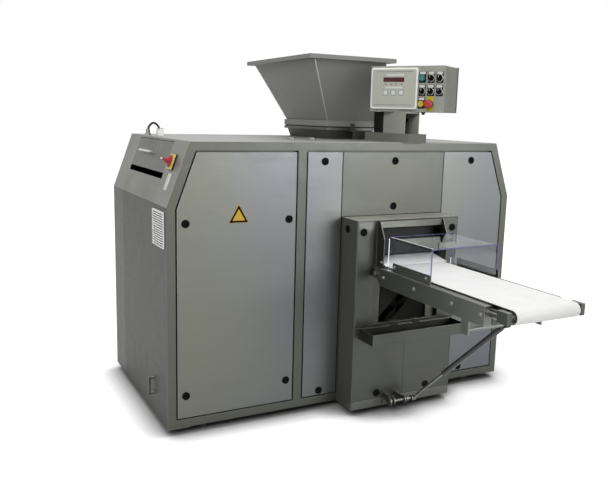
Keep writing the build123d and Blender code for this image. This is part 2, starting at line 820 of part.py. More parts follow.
with BuildPart() as console_arm:
    add_box(arm_left, arm_right, arm_front, arm_rear, top_z, arm_top)
    add_box(
        arm_left + arm_wall, arm_right - arm_wall, arm_front + arm_wall, arm_rear + 1,
        top_z + arm_wall, arm_top - arm_wall, Mode.SUBTRACT,
    )

with BuildPart() as console_pedestal:
    add_box(pedestal_left, pedestal_right, pedestal_front, pedestal_rear, arm_top, pedestal_top)
    add_box(
        pedestal_left + arm_wall, pedestal_right - arm_wall, pedestal_front - 1, pedestal_rear - arm_wall,
        arm_top - 1, pedestal_top - 8, Mode.SUBTRACT,
    )
    add_round_z(swivel_x, swivel_depth, swivel_radius, pedestal_top - 4, pedestal_top + 16)

# Cable that loops over the top plate from a gland to a connector hood
gland_x = left_x + 126.5
gland_depth = 730.0
hood_x = left_x + 161.5
hood_depth = 645.0
loop_low = top_z + 12
cable_radius = 5.0

with BuildPart() as cable_fittings:
    add_round_z(gland_x, gland_depth, 13, top_z, top_z + 6)
    add_round_z(gland_x, gland_depth, 9, top_z + 6, loop_low)
    add_box(hood_x - 11, hood_x + 11, hood_depth - 20, hood_depth + 20, top_z, loop_low - 3)
    add_round_z(hood_x, hood_depth, 9, loop_low - 3, loop_low)
    # A duct leads the console's cables down behind its pedestal.
    duct_left = pedestal_left + 2
    duct_from = pedestal_rear + seat_gap
    add_box(
        duct_left, duct_left + cable_duct_width, duct_from, duct_from + cable_duct_depth,
        arm_top, pedestal_top - seat_gap,
    )
    mains_z = base_z + 90
    mains_x = left_x + 130
    add_round_y(mains_x, mains_z, 16, cabinet_depth, cabinet_depth + 8)
    add_round_y(mains_x, mains_z, 12, cabinet_depth + 8, cabinet_depth + 26)

loop_direction = Vector(hood_x - gland_x, hood_depth - gland_depth, 0)
loop_radius = loop_direction.length / 2
loop_plane = Plane(
    origin=(gland_x, front_y + gland_depth, loop_low),
    x_dir=loop_direction,
    z_dir=loop_direction.cross(Vector(0, 0, 1)),
)

with BuildPart() as loop_cable:
    with BuildLine(loop_plane) as loop_path:
        ThreePointArc((0, 0), (loop_radius, loop_radius), (2 * loop_radius, 0))
    with BuildSketch(Plane.XY.offset(loop_low)):
        with Locations((gland_x, front_y + gland_depth)):
            Circle(cable_radius)
    sweep(path=loop_path.line)

# Dividing head inside the cabinet
head_left = lane_x - side_plate_inner
head_right = lane_x + side_plate_inner

with BuildPart() as side_plates:
    nose_low = drum_height - 78
    nose_high = drum_height + 78
    nose_front = front_y - 50
    nose_rear = front_y + frame_depth + 5
    plate_rear = front_y + head_rear
    for plate_x in (head_left - side_plate_thickness, head_right):
        with BuildSketch(Plane.YZ.offset(plate_x)):
            with BuildLine():
                Polyline(
                    (nose_rear, plate_top),
                    (plate_rear, plate_top),
                    (plate_rear, chamber_top + 20),
                    (nose_rear, chamber_top + 20),
                    (nose_rear, nose_high),
                    (nose_front, nose_high),
                    (nose_front, nose_low),
                    (nose_rear, nose_low),
                    close=True,
                )
            make_face()
            with Locations((front_y + drum_depth, drum_height)):
                Circle(drum_shaft_radius + running_gap, mode=Mode.SUBTRACT)
            with Locations((front_y + 370, 380)):
                Rectangle(420, 400, mode=Mode.SUBTRACT)
        extrude(amount=side_plate_thickness)

with BuildPart() as chamber_block:
    add_box(
        lane_x - chamber_half, lane_x + chamber_half, frame_depth + 2,
        chamber_rear, chamber_bottom, chamber_top,
    )
    add_box(lane_x - bore_half, lane_x + bore_half, 0, chamber_rear + 1, bore_bottom, bore_top, Mode.SUBTRACT)
    inlet_half = duct_width / 2 - throat_wall
    inlet_front = duct_front + throat_wall
    inlet_rear = duct_rear - throat_wall
    add_box(
        lane_x - inlet_half + 5, lane_x + inlet_half - 5, inlet_front,
        inlet_rear, bore_top - 1, chamber_top + 1,
        Mode.SUBTRACT,
    )
    add_round_x(
        drum_depth, drum_height, drum_radius + 0.4, lane_x - chamber_half - 1, lane_x + chamber_half + 1,
        Mode.SUBTRACT,
    )
    # Feet that carry the block on the side plates.
    for side in (-1, 1):
        foot_near = lane_x + side * chamber_half
        foot_far = lane_x + side * (side_plate_inner - seat_gap)
        foot_from, foot_to = sorted((foot_near, foot_far))
        add_box(foot_from, foot_to, 150, chamber_rear - 30, chamber_bottom, chamber_bottom + 14)

with BuildPart() as dividing_drum:
    add_round_x(drum_depth, drum_height, drum_radius, lane_x - drum_half, lane_x + drum_half)
    shaft_end = side_plate_inner + side_plate_thickness
    add_round_x(drum_depth, drum_height, drum_shaft_radius, lane_x - shaft_end - 20, lane_x + shaft_end)
    pocket_bottom = drum_depth + drum_radius - pocket_depth
    for side in (-1, 1):
        add_round_y(
            lane_x + side * pocket_offset, drum_height, pocket_radius,
            pocket_bottom, drum_depth + drum_radius + 1,
            Mode.SUBTRACT,
        )

with BuildPart() as measuring_pistons:
    for side in (-1, 1):
        piston_low = pocket_bottom + seat_gap
        add_round_y(
            lane_x + side * pocket_offset, drum_height, pocket_radius - slide_gap, piston_low,
            piston_low + piston_length,
        )

with BuildPart() as ram:
    ram_rear = ram_face + ram_length
    add_box(
        lane_x - bore_half + slide_gap, lane_x + bore_half - slide_gap, ram_face, ram_rear,
        bore_bottom + slide_gap, bore_top - slide_gap,
    )
    rod_height = bore_bottom + 5
    yoke_half = ram_rod_offset + ram_rod_radius + 1.5
    add_box(lane_x - yoke_half, lane_x + yoke_half, ram_rear, ram_rear + 20, rod_height - 18, bore_top)
    for side in (-1, 1):
        rod_x = lane_x + side * ram_rod_offset
        add_round_y(rod_x, rod_height, ram_rod_radius, chamber_rear - 25, ram_rear)

knife_rear = chamber_rear + 160
knife_cylinder_rear = knife_cylinder_front + knife_cylinder_length
knife_rod_height = knife_low + knife_thickness / 2
knife_rod_x = chamber_half + seat_gap + knife_cylinder_radius

with BuildPart() as knife:
    knife_half = duct_width / 2
    add_box(
        lane_x - knife_half, lane_x + knife_half, duct_rear + 2,
        knife_rear, knife_low, knife_low + knife_thickness,
    )
    add_box(lane_x - 140, lane_x + 140, knife_rear, knife_rear + 15, knife_low, knife_low + knife_thickness)
    for side in (-1, 1):
        rod_x = lane_x + side * knife_rod_x
        add_round_y(rod_x, knife_rod_height, knife_rod_radius, knife_cylinder_rear - 20, knife_rear)

with BuildPart() as hydraulic_actuators:
    for side in (-1, 1):
        ram_x = lane_x + side * ram_rod_offset
        ram_cylinder_rear = chamber_rear - 5
        ram_cylinder_front = ram_cylinder_rear - ram_stroke - 35
        add_round_y(ram_x, rod_height, ram_cylinder_radius, ram_cylinder_front, ram_cylinder_rear)
        rod_bore = ram_rod_radius + running_gap
        add_round_y(ram_x, rod_height, rod_bore, ram_cylinder_front + 8, ram_cylinder_rear + 1, Mode.SUBTRACT)
        knife_x = lane_x + side * knife_rod_x
        add_round_y(
            knife_x, knife_rod_height, knife_cylinder_radius, knife_cylinder_front, knife_cylinder_rear,
        )
        knife_bore = knife_rod_radius + running_gap
        bore_end = knife_cylinder_front + 8
        add_round_y(knife_x, knife_rod_height, knife_bore, bore_end, knife_cylinder_rear + 1, Mode.SUBTRACT)
    # Rotary actuator of the drum on the outside of the left plate.
    actuator_right = head_left - side_plate_thickness - seat_gap
    add_box(
        actuator_right - 70, actuator_right, drum_depth - 45, drum_depth + 45,
        drum_height - 40, drum_height + 40,
    )
    shaft_hole = drum_shaft_radius + running_gap
    add_round_x(drum_depth, drum_height, shaft_hole, actuator_right - 25, actuator_right + 1, Mode.SUBTRACT)

with BuildPart() as hydraulic_unit:
    tank_left = bay_right + tank_from_bay
    tank_right = right_x - tank_from_end
    tank_width = tank_right - tank_left
    tank_middle = (tank_left + tank_right) / 2
    tank_top = plate_top + tank_height
    add_box(tank_left, tank_right, tank_front, tank_rear, plate_top, tank_top)
    add_round_z(tank_middle, motor_depth, tank_width / 4, tank_top, tank_top + motor_height)
    valve_half = tank_width / 5
    valve_rear = valve_front + valve_length
    add_box(
        tank_middle - valve_half, tank_middle + valve_half, valve_front, valve_rear,
        tank_top, tank_top + valve_height,
    )

with BuildPart() as switchgear_panel:
    panel_left = left_x + switch_plate_from_end
    panel_right = post_left - switch_plate_from_post
    panel_rear = switch_plate_front + switch_plate_sheet
    panel_top = plate_top + switch_plate_height
    device_front = switch_plate_front - device_depth
    device_margin = 30.0
    device_space = 10.0
    add_box(panel_left, panel_right, switch_plate_front, panel_rear, plate_top, panel_top)
    # Rows of switching devices: how high the row starts and ends on the plate, and how many stand in it.
    for low_share, high_share, count in [(0.23, 0.33, 6), (0.45, 0.58, 5), (0.7, 0.87, 4)]:
        row_low = plate_top + low_share * switch_plate_height
        row_high = plate_top + high_share * switch_plate_height
        pitch = (panel_right - panel_left - 2 * device_margin) / count
        for number in range(count):
            device_x = panel_left + device_margin + device_space / 2 + pitch * number
            device_end = device_x + pitch - device_space
            add_box(device_x, device_end, device_front, switch_plate_front, row_low, row_high)

# Flap, handle and isolator on the slanted left end
flap_clearance = 0.8
flap_low = slot_high + 1
flap_top = flap_high - flap_hinge_inset
flap_middle = -(flap_front + flap_width / 2)
flap_span = flap_width - 2 * flap_clearance

with BuildPart() as end_flap:
    with BuildSketch(slant_plane(0)):
        with Locations((flap_middle, (flap_low + flap_top) / 2)):
            Rectangle(flap_span, flap_top - flap_low)
    extrude(amount=-sheet)
    with BuildSketch(slant_plane(-sheet)):
        with Locations((flap_middle, flap_low + 1)):
            Rectangle(flap_span - 20, 2)
    extrude(amount=-12)
    # The upper edge is rolled around the hinge pin.
    barrel_centre = slant_plane(-flap_barrel_radius).from_local_coords((flap_middle, flap_top, 0))
    barrel_plane = Plane(origin=barrel_centre, z_dir=(0, 1, 0))
    with BuildSketch(barrel_plane.offset(-flap_span / 2)):
        Circle(flap_barrel_radius)
    extrude(amount=flap_span)

with BuildPart() as flap_handle:
    half_feet = flap_bar_feet / 2
    with BuildSketch(slant_plane(0)):
        for foot_place in (-flap_bar_middle - half_feet, -flap_bar_middle + half_feet):
            with Locations((foot_place, flap_bar_up_slope)):
                Circle(flap_bar_width / 2 - 1)
    extrude(amount=flap_bar_out + flap_bar_thickness / 2)
    with BuildSketch(slant_plane(flap_bar_out)):
        with Locations((-flap_bar_middle, flap_bar_up_slope)):
            SlotOverall(flap_bar_length, flap_bar_width)
    extrude(amount=flap_bar_thickness)

isolator_place = (-isolator_depth, isolator_up_slope)

with BuildPart() as isolator_plate:
    with BuildSketch(slant_plane(0)):
        with Locations(isolator_place):
            RectangleRounded(isolator_plate_size, isolator_plate_size, 6)
    extrude(amount=8)
    with BuildSketch(slant_plane(8)):
        with Locations(isolator_place):
            Circle(24)
    extrude(amount=4)

with BuildPart() as isolator_handle:
    with BuildSketch(slant_plane(12 + seat_gap)):
        with Locations(isolator_place):
            Circle(21)
    extrude(amount=8)
    with BuildSketch(slant_plane(20)):
        with Locations(isolator_place):
            SlotOverall(46, 11)
    extrude(amount=isolator_grip_out - 20)

# Console box: local x runs to the right along its face, local y is up, the normal faces the reader
turn = radians(console_turn)
face_normal = (sin(turn), -cos(turn), 0)
face_right = (cos(turn), sin(turn), 0)


def console_plane(out):
    """A plane parallel to the console's face and out mm before it, its origin at the bottom middle."""
    reach = console_forward + out
    origin = (
        swivel_x + reach * face_normal[0] + console_shift * face_right[0],
        swivel_y + reach * face_normal[1] + console_shift * face_right[1],
        console_low,
    )
    return Plane(origin=origin, x_dir=face_right, z_dir=face_normal)


control_places = [(x, z) for z in control_rows for x in control_columns]
green_place, dial_left_place, dial_right_place = control_places[0:3]
selector_places = control_places[3:6]
yellow_place, estop_place = control_places[6:8]
used_places = control_places[0:8]

with BuildPart() as console_box:
    with BuildSketch(console_plane(0)):
        with Locations((0, console_height / 2)):
            RectangleRounded(console_width, console_height, 6)
    extrude(amount=-console_depth)
    with BuildSketch(console_plane(-console_wall)):
        with Locations((0, console_height / 2)):
            Rectangle(console_width - 2 * console_wall, console_height - 2 * console_wall)
    extrude(amount=-(console_depth - 2 * console_wall), mode=Mode.SUBTRACT)
    with BuildSketch(console_plane(1)):
        with Locations(*used_places):
            Circle(stem_radius + seat_gap)
    extrude(amount=-console_wall - 2, mode=Mode.SUBTRACT)
    add_round_z(
        swivel_x, swivel_depth, swivel_radius + running_gap, console_low - 1, console_low + 30, Mode.SUBTRACT
    )

with BuildPart() as display_unit:
    display_x = -console_width / 2 + display_from_left + display_width / 2
    display_z = display_from_bottom + display_height / 2
    with BuildSketch(console_plane(0)):
        with Locations((display_x, display_z)):
            RectangleRounded(display_width, display_height, 12)
    extrude(amount=display_thickness)
    fillet(display_unit.faces().sort_by(Axis((0, 0, 0), face_normal))[-1].edges(), 5)

with BuildPart() as button_bezels:
    with BuildSketch(console_plane(0)):
        for place in used_places[0:7]:
            with Locations((place[0], place[1] + bezel_lift)):
                Rectangle(bezel_width, bezel_height)
        with Locations((estop_place[0], estop_place[1] + estop_plate_lift)):
            Rectangle(bezel_width, estop_plate_height)
    extrude(amount=bezel_thickness)
    with BuildSketch(console_plane(-1)):
        with Locations(*used_places):
            Circle(stem_radius + seat_gap)
    extrude(amount=bezel_thickness + 2, mode=Mode.SUBTRACT)


def push_button(place, radius, lift, thickness, edge):
    """A push button with a bevelled edge, on a stem through the face of the console."""
    with BuildPart() as button:
        with BuildSketch(console_plane(-16)):
            with Locations(place):
                Circle(stem_radius)
        extrude(amount=16 + lift)
        with BuildSketch(console_plane(lift)):
            with Locations(place):
                Circle(radius)
        extrude(amount=thickness)
        chamfer(button.faces().sort_by(Axis((0, 0, 0), face_normal))[-1].edges(), edge)
    return button


def turning_knob(place, radius, thickness, bar_length, bar_width, bar_lean):
    """A round knob with a grip bar, on a stem through the face of the console."""
    with BuildPart() as knob:
        with BuildSketch(console_plane(-16)):
            with Locations(place):
                Circle(stem_radius)
        extrude(amount=16 + bezel_thickness + seat_gap)
        with BuildSketch(console_plane(bezel_thickness + seat_gap)):
            with Locations(place):
                Circle(radius)
        extrude(amount=thickness)
        with BuildSketch(console_plane(bezel_thickness + seat_gap + thickness)):
            with Locations(place):
                SlotOverall(bar_length, bar_width, rotation=90 + bar_lean)
        extrude(amount=10)
    return knob


button_lift = bezel_thickness + 5
green_button = push_button(green_place, button_radius, button_lift, 7, 1.5)
yellow_button = push_button(yellow_place, button_radius, button_lift, 7, 1.5)
estop_button = push_button(estop_place, 20, 22, 14, 4)
left_dial = turning_knob(dial_left_place, 13, 12, 24, 8, 0)
right_dial = turning_knob(dial_right_place, 13, 12, 24, 8, 0)
left_selector = turning_knob(selector_places[0], 14, 5, 27, 9, 0)
middle_selector = turning_knob(selector_places[1], 14, 5, 27, 9, 0)
right_selector = turning_knob(selector_places[2], 14, 5, 27, 9, 0)

# Delivery conveyor
belt_left = lane_x - belt_width / 2
roller_middle = (drive_roller_depth + tail_roller_depth) / 2
belt_inner = roller_radius + running_gap

with BuildPart() as conveyor_belt:
    with BuildSketch(Plane.YZ.offset(belt_left)):
        with Locations((front_y + roller_middle, roller_height)):
            SlotCenterToCenter(roller_span, 2 * (belt_inner + belt_thickness))
            SlotCenterToCenter(roller_span, 2 * belt_inner, mode=Mode.SUBTRACT)
    extrude(amount=belt_width)

with BuildPart() as drive_roller:
    add_round_x(drive_roller_depth, roller_height, roller_radius, belt_left, belt_left + belt_width)
    add_round_x(
        drive_roller_depth, roller_height, roller_shaft_radius,
        lane_x - frame_half + 1, lane_x + frame_half - 1,
    )

block_inner = frame_half - block_thickness - 2
bar_outer = block_inner - seat_gap

with BuildPart() as tail_roller:
    add_round_x(tail_roller_depth, roller_height, roller_radius, belt_left, belt_left + belt_width)
    shaft_half = block_inner + block_thickness - 5
    add_round_x(
        tail_roller_depth, roller_height, roller_shaft_radius, lane_x - shaft_half, lane_x + shaft_half,
    )

block_outer_end = tail_roller_depth - 15
block_inner_end = block_outer_end + block_length
bolt_offset = block_inner + block_thickness / 2

with BuildPart() as bearing_blocks:
    for side in (-1, 1):
        block_near = lane_x + side * block_inner
        block_from, block_to = sorted((block_near, block_near + side * block_thickness))
        add_box(
            block_from, block_to, block_outer_end, block_inner_end,
            roller_height - block_height / 2, roller_height + block_height / 2,
        )
        shaft_from, shaft_to = sorted((lane_x + side * (block_inner - 1), lane_x + side * (shaft_half + 1)))
        shaft_bore = roller_shaft_radius + running_gap
        add_round_x(tail_roller_depth, roller_height, shaft_bore, shaft_from, shaft_to, Mode.SUBTRACT)
    # Tension bolts between the channel ends and the blocks.
    for side in (-1, 1):
        bolt_x = lane_x + side * bolt_offset
        add_round_y(bolt_x, roller_height, 6, block_inner_end + seat_gap, frame_outer_end + 12)
        with BuildSketch(depth_plane(frame_outer_end - seat_gap)):
            with Locations((bolt_x, roller_height)):
                RegularPolygon(10, 6)
        extrude(amount=9)

bed_top = belt_top - belt_thickness - seat_gap
bed_inner_end = drive_roller_depth - roller_radius - 4
bed_outer_end = tail_roller_depth + roller_radius + 4

with BuildPart() as conveyor_frame:
    for side in (-1, 1):
        web_x = lane_x + side * frame_half
        with BuildSketch(Plane.YZ.offset(web_x)):
            with BuildLine():
                Polyline(
                    (front_y + frame_inner_end, frame_top),
                    (front_y + frame_outer_end, frame_top),
                    (front_y + frame_outer_end, frame_bottom),
                    (front_y + frame_inner_end - 10, frame_bottom),
                    (front_y + pivot_depth - 12, pivot_height - 13.4),
                    (front_y + pivot_depth - 12, pivot_height + 13.4),
                    close=True,
                )
            make_face()
            with Locations((front_y + pivot_depth, pivot_height)):
                Circle(pivot_boss)
            with Locations((front_y + pivot_depth, pivot_height)):
                Circle(pivot_radius + 2 * running_gap, mode=Mode.SUBTRACT)
            with Locations((front_y + drive_roller_depth, roller_height)):
                Circle(roller_shaft_radius + running_gap, mode=Mode.SUBTRACT)
        extrude(amount=-side * frame_web)
        top_from, top_to = sorted((web_x, web_x - side * frame_flange))
        add_box(top_from, top_to, frame_outer_end, frame_inner_end, frame_top - frame_web, frame_top)
        low_from, low_to = sorted((web_x, web_x - side * frame_bottom_flange))
        add_box(
            low_from, low_to, frame_outer_end, frame_inner_end - 12, frame_bottom, frame_bottom + frame_web,
        )
        add_box(top_from, top_to, frame_outer_end, frame_outer_end + 6, frame_bottom, frame_top)
        # Guide bar along which the bearing block is drawn out.
        bar_from, bar_to = sorted((lane_x + side * (belt_width / 2 + 4), lane_x + side * bar_outer))
        add_box(
            bar_from, bar_to, tail_roller_depth + 13, frame_outer_end + 40,
            roller_height - 10, roller_height + 10,
        )
        bolt_x = lane_x + side * bolt_offset
        add_round_y(bolt_x, roller_height, 6.4, frame_outer_end - 1, frame_outer_end + 13, Mode.SUBTRACT)
        # Strip that holds the clear guard.
        strip_near = lane_x + side * (guard_half + seat_gap)
        strip_from, strip_to = sorted((strip_near, strip_near + side * frame_web))
        add_box(
            strip_from, strip_to, guard_outer_end - 8, guard_inner_end - 40,
            frame_top, frame_top + guard_strip_height,
        )
        # Lug that carries the cross rod of the strut.
        lug_far = lane_x + side * (frame_half - frame_web)
        lug_from, lug_to = sorted((lug_far, lug_far - side * 8))
        add_box(
            lug_from, lug_to, strut_upper_depth - 20, strut_upper_depth + 20,
            strut_upper_height - 16, frame_bottom + 30,
        )
    add_box(belt_left + 2, belt_left + belt_width - 2, bed_outer_end, bed_inner_end, bed_top - 3, bed_top)
    first_bar = frame_inner_end - 80
    last_bar = frame_outer_end + 44.5
    for bar_depth in (first_bar, (first_bar + last_bar) / 2, last_bar):
        bar_low = roller_height - 10
        add_box(
            lane_x - frame_half + 1, lane_x + frame_half - 1, bar_depth - 15,
            bar_depth + 15, bar_low, bar_low + 18,
        )
        add_box(
            belt_left + 2, belt_left + belt_width - 2, bar_depth - 15, bar_depth + 15, bar_low, bed_top - 3,
        )
    rod_half = frame_half - 5
    add_round_x(strut_upper_depth, strut_upper_height, cross_rod_radius, lane_x - rod_half, lane_x + rod_half)

with BuildPart() as belt_guard:
    guard_low = frame_top + seat_gap
    guard_high = frame_top + guard_height
    with BuildSketch(depth_plane(guard_inner_end)):
        with Locations((lane_x, (guard_low + guard_high) / 2)):
            Rectangle(2 * guard_half, guard_high - guard_low)
        with Locations((lane_x, (guard_low + guard_high) / 2 - guard_sheet)):
            Rectangle(2 * (guard_half - guard_sheet), guard_high - guard_low, mode=Mode.SUBTRACT)
    extrude(amount=guard_inner_end - guard_outer_end)
    long_edges = belt_guard.edges().filter_by(Axis.Y).group_by(Axis.Z)[-1]
    fillet(long_edges, 5)

# Gas strut, drawn in its own plane with local x along the strut from the upper eye
strut_run = strut_lower_depth - strut_upper_depth
strut_drop = strut_lower_height - strut_upper_height
strut_length = hypot(strut_run, strut_drop)
strut_plane = Plane(
    origin=(strut_x, front_y + strut_upper_depth, strut_upper_height),
    x_dir=(0, strut_run, strut_drop),
    z_dir=(1, 0, 0),
)
strut_axis = Axis(strut_plane.origin, strut_plane.x_dir)

with BuildPart() as strut_cylinder:
    with BuildSketch(strut_plane):
        with BuildLine():
            bore = strut_rod_radius + running_gap
            bore_start = strut_tube_length - strut_bore_depth
            Polyline(
                (10, 0),
                (10, 9),
                (34, 9),
                (34, strut_tube_radius),
                (strut_tube_length, strut_tube_radius),
                (strut_tube_length, bore),
                (bore_start, bore),
                (bore_start, 0),
                close=True,
            )
        make_face()
    revolve(axis=strut_axis)
    add_round_x(
        strut_upper_depth, strut_upper_height, strut_eye_radius, strut_x - socket_half, strut_x + socket_half
    )
    eye_bore = cross_rod_radius + running_gap
    add_round_x(
        strut_upper_depth, strut_upper_height, eye_bore, strut_x - socket_half - 1, strut_x + socket_half + 1,
        Mode.SUBTRACT,
    )

with BuildPart() as strut_rod:
    with BuildSketch(strut_plane):
        with BuildLine():
            rod_start = strut_tube_length - strut_rod_inside
            Polyline(
                (rod_start, 0),
                (rod_start, strut_rod_radius),
                (strut_length - 36, strut_rod_radius),
                (strut_length - 36, 8),
                (strut_length - 6, 8),
                (strut_length - 6, 0),
                close=True,
            )
        make_face()
    revolve(axis=strut_axis)
    add_round_x(strut_lower_depth, strut_lower_height, 13, strut_x - socket_half, strut_x + socket_half)

# Catch tray hung on the lower edge of the outlet window
tray_rear = -housing_depth - 2 * seat_gap
tray_front = tray_rear - tray_depth
tray_left = lane_x + tray_shift - tray_length / 2
tray_right = tray_left + tray_length
tray_top = tray_bottom + tray_height

with BuildPart() as catch_tray:
    add_box(tray_left, tray_right, tray_front, tray_rear, tray_bottom, tray_top)
    add_box(
        tray_left + tray_sheet, tray_right - tray_sheet, tray_front + tray_sheet, tray_rear - tray_sheet,
        tray_bottom + tray_sheet, tray_top + 1, Mode.SUBTRACT,
    )
    hook_top = window_bottom + seat_gap + tray_sheet
    hook_rear = -housing_depth + cover_depth + seat_gap
    for hook_x in (lane_x - 60, lane_x + 60):
        add_box(hook_x - 20, hook_x + 20, tray_rear - tray_sheet, tray_rear, tray_top - 5, hook_top)
        add_box(hook_x - 20, hook_x + 20, tray_rear, hook_rear + tray_sheet, hook_top - tray_sheet, hook_top)
        add_box(
            hook_x - 20, hook_x + 20, hook_rear, hook_rear + tray_sheet, hook_top - tray_sheet - 14, hook_top
        )

# Outlet flap, hung in front of the drum
with BuildPart() as outlet_flap:
    flap_left = lane_x - outlet_flap_half
    flap_right = lane_x + outlet_flap_half
    add_box(
        flap_left, flap_right, flap_pin_depth - 1.5, flap_pin_depth + 1.5,
        flap_pin_height - 125, flap_pin_height,
    )
    pin_reach = outlet_flap_half + 2 + 6
    add_round_x(flap_pin_depth, flap_pin_height, outlet_flap_pin, lane_x - pin_reach, lane_x + pin_reach)

pieces = {
    "base_frame": base_frame,
    "levelling_feet": levelling_feet,
    "front_frame": front_frame,
    "left_end_panel": left_end_panel,
    "right_end_panel": right_end_panel,
    "top_plate": top_plate,
    "rear_panel": rear_panel,
    "left_cover": left_cover,
    "narrow_cover": narrow_cover,
    "upper_cover": upper_cover,
    "right_cover": right_cover,
    "outfeed_housing": outfeed_housing,
    "housing_covers": housing_covers,
    "cover_locks": cover_locks,
    "filter_grille": filter_grille,
    "outlet_cheeks": outlet_cheeks,
    "conveyor_brackets": conveyor_brackets,
    "strut_anchor": strut_anchor,
    "feed_throat": feed_throat,
    "hopper_seal": hopper_seal,
    "hopper_bracket": hopper_bracket,
    "hopper": hopper,
    "console_arm": console_arm,
    "console_pedestal": console_pedestal,
    "cable_fittings": cable_fittings,
    "loop_cable": loop_cable,
    "side_plates": side_plates,
    "chamber_block": chamber_block,
    "dividing_drum": dividing_drum,
    "measuring_pistons": measuring_pistons,
    "ram": ram,
    "knife": knife,
    "hydraulic_actuators": hydraulic_actuators,
    "hydraulic_unit": hydraulic_unit,
    "switchgear_panel": switchgear_panel,
    "end_flap": end_flap,
    "flap_handle": flap_handle,
    "isolator_plate": isolator_plate,
    "isolator_handle": isolator_handle,
    "console_box": console_box,
    "display_unit": display_unit,
    "button_bezels": button_bezels,
    "green_button": green_button,
    "yellow_button": yellow_button,
    "estop_button": estop_button,
    "left_dial": left_dial,
    "right_dial": right_dial,
    "left_selector": left_selector,
    "middle_selector": middle_selector,
    "right_selector": right_selector,
    "conveyor_frame": conveyor_frame,
    "conveyor_belt": conveyor_belt,
    "drive_roller": drive_roller,
    "tail_roller": tail_roller,
    "bearing_blocks": bearing_blocks,
    "belt_guard": belt_guard,
    "strut_cylinder": strut_cylinder,
    "strut_rod": strut_rod,
    "catch_tray": catch_tray,
    "outlet_flap": outlet_flap,
}

for name, piece in pieces.items():
    piece.part.label = name
    export_step(piece.part, f"parts/{name}.step")
    print(name, len(piece.part.solids()), "solids", piece.part.bounding_box().size)
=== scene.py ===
# %% [markdown]
# # A dough divider
# Dough is tipped into the hopper of this bakery machine. A drum behind the outlet cuts it into equal
# portions, and a short belt carries them to the table. The CAD frame already holds the sheet metal, the belt
# and every joint. This lesson gives each surface its finish, models the small pieces that the frame leaves
# plain, and sets the stage. The frame is loaded first, because many sizes and places are read from it.

import json
from math import cos, radians, sin

import bmesh
import bpy
from mathutils import Matrix, Vector


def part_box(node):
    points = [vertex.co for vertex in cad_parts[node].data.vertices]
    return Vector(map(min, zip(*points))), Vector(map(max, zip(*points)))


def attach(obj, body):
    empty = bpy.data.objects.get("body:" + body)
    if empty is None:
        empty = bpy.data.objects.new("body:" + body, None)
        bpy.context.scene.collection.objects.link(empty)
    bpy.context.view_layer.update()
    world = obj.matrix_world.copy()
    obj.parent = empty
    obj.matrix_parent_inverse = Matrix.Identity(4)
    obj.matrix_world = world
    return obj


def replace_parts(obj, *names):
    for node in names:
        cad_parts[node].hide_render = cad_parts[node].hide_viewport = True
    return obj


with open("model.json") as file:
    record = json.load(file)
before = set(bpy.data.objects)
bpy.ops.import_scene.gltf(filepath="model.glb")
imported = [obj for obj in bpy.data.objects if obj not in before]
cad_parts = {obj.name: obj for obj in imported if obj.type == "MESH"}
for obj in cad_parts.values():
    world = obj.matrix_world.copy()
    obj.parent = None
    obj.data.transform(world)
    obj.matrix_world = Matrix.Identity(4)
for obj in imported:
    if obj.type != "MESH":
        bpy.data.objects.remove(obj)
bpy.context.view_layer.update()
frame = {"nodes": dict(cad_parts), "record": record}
nodes = frame["nodes"]
mm = 0.001

# %% [markdown]
# ## Places read from the frame
# A flat piece such as a sign or a screw is easiest to model lying on the ground. A seat is a matrix that then
# lays it on a face of the machine: its local x runs to the right, its local y up, and its local z out of the
# face. One seat per face keeps all the small pieces square to the sheet that carries them.


# %% Seats
def seat(place, right, up):
    """A matrix that lays a piece modelled in the XY plane onto a face at a place."""
    right = Vector(right).normalized()
    up = Vector(up).normalized()
    matrix = Matrix((right, up, right.cross(up))).transposed().to_4x4()
    matrix.translation = Vector(place)
    return matrix


def front_seat(x, y, z):
    return seat((x, y, z), (1, 0, 0), (0, 0, 1))


def left_seat(x, y, z):
    return seat((x, y, z), (0, -1, 0), (0, 0, 1))


def right_seat(x, y, z):
    return seat((x, y, z), (0, 1, 0), (0, 0, 1))


def rear_seat(x, y, z):
    return seat((x, y, z), (-1, 0, 0), (0, 0, 1))


def top_seat(x, y, z):
    return seat((x, y, z), (1, 0, 0), (0, 1, 0))


end_sheet_step = 2.3 * mm
front_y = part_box("front_frame")[0].y
left_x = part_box("front_frame")[0].x - end_sheet_step
top_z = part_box("top_plate")[1].z
rear_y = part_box("rear_panel")[1].y
lane_x = (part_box("conveyor_belt")[0].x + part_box("conveyor_belt")[1].x) / 2
print("front", front_y, "left", left_x, "top", top_z, "lane", lane_x)

# %% [markdown]
# ## The camera
# The camera stands where the photograph was taken: to the left of the machine, a little above its top plate.
# It is turned by three angles. Azimuth swings it round the machine, elevation tips it down, and the small
# roll levels the uprights as they stand in the photograph. The lens is a plain 42 mm on a full frame.

# %% Camera
camera_place = Vector((-1.67023, -2.73853, 1.33936))
azimuth = -0.478753
elevation = 0.172827
roll = 0.0255894
back = Vector((sin(azimuth) * cos(elevation), -cos(azimuth) * cos(elevation), sin(elevation)))
level = Vector((cos(azimuth), sin(azimuth), 0))
upward = back.cross(level)
camera_right = level * cos(roll) + upward * sin(roll)
camera_up = upward * cos(roll) - level * sin(roll)
camera_data = bpy.data.cameras.new("photo_camera")
camera_data.lens = 42.05
camera_data.sensor_width = 36
camera_data.sensor_fit = "HORIZONTAL"
camera_data.clip_end = 60
camera = bpy.data.objects.new("photo_camera", camera_data)
camera.matrix_world = seat(camera_place, camera_right, camera_up)
bpy.context.scene.collection.objects.link(camera)
bpy.context.scene.camera = camera
bpy.context.scene.view_settings.view_transform = "Standard"
print("camera at", [round(value, 3) for value in camera_place])

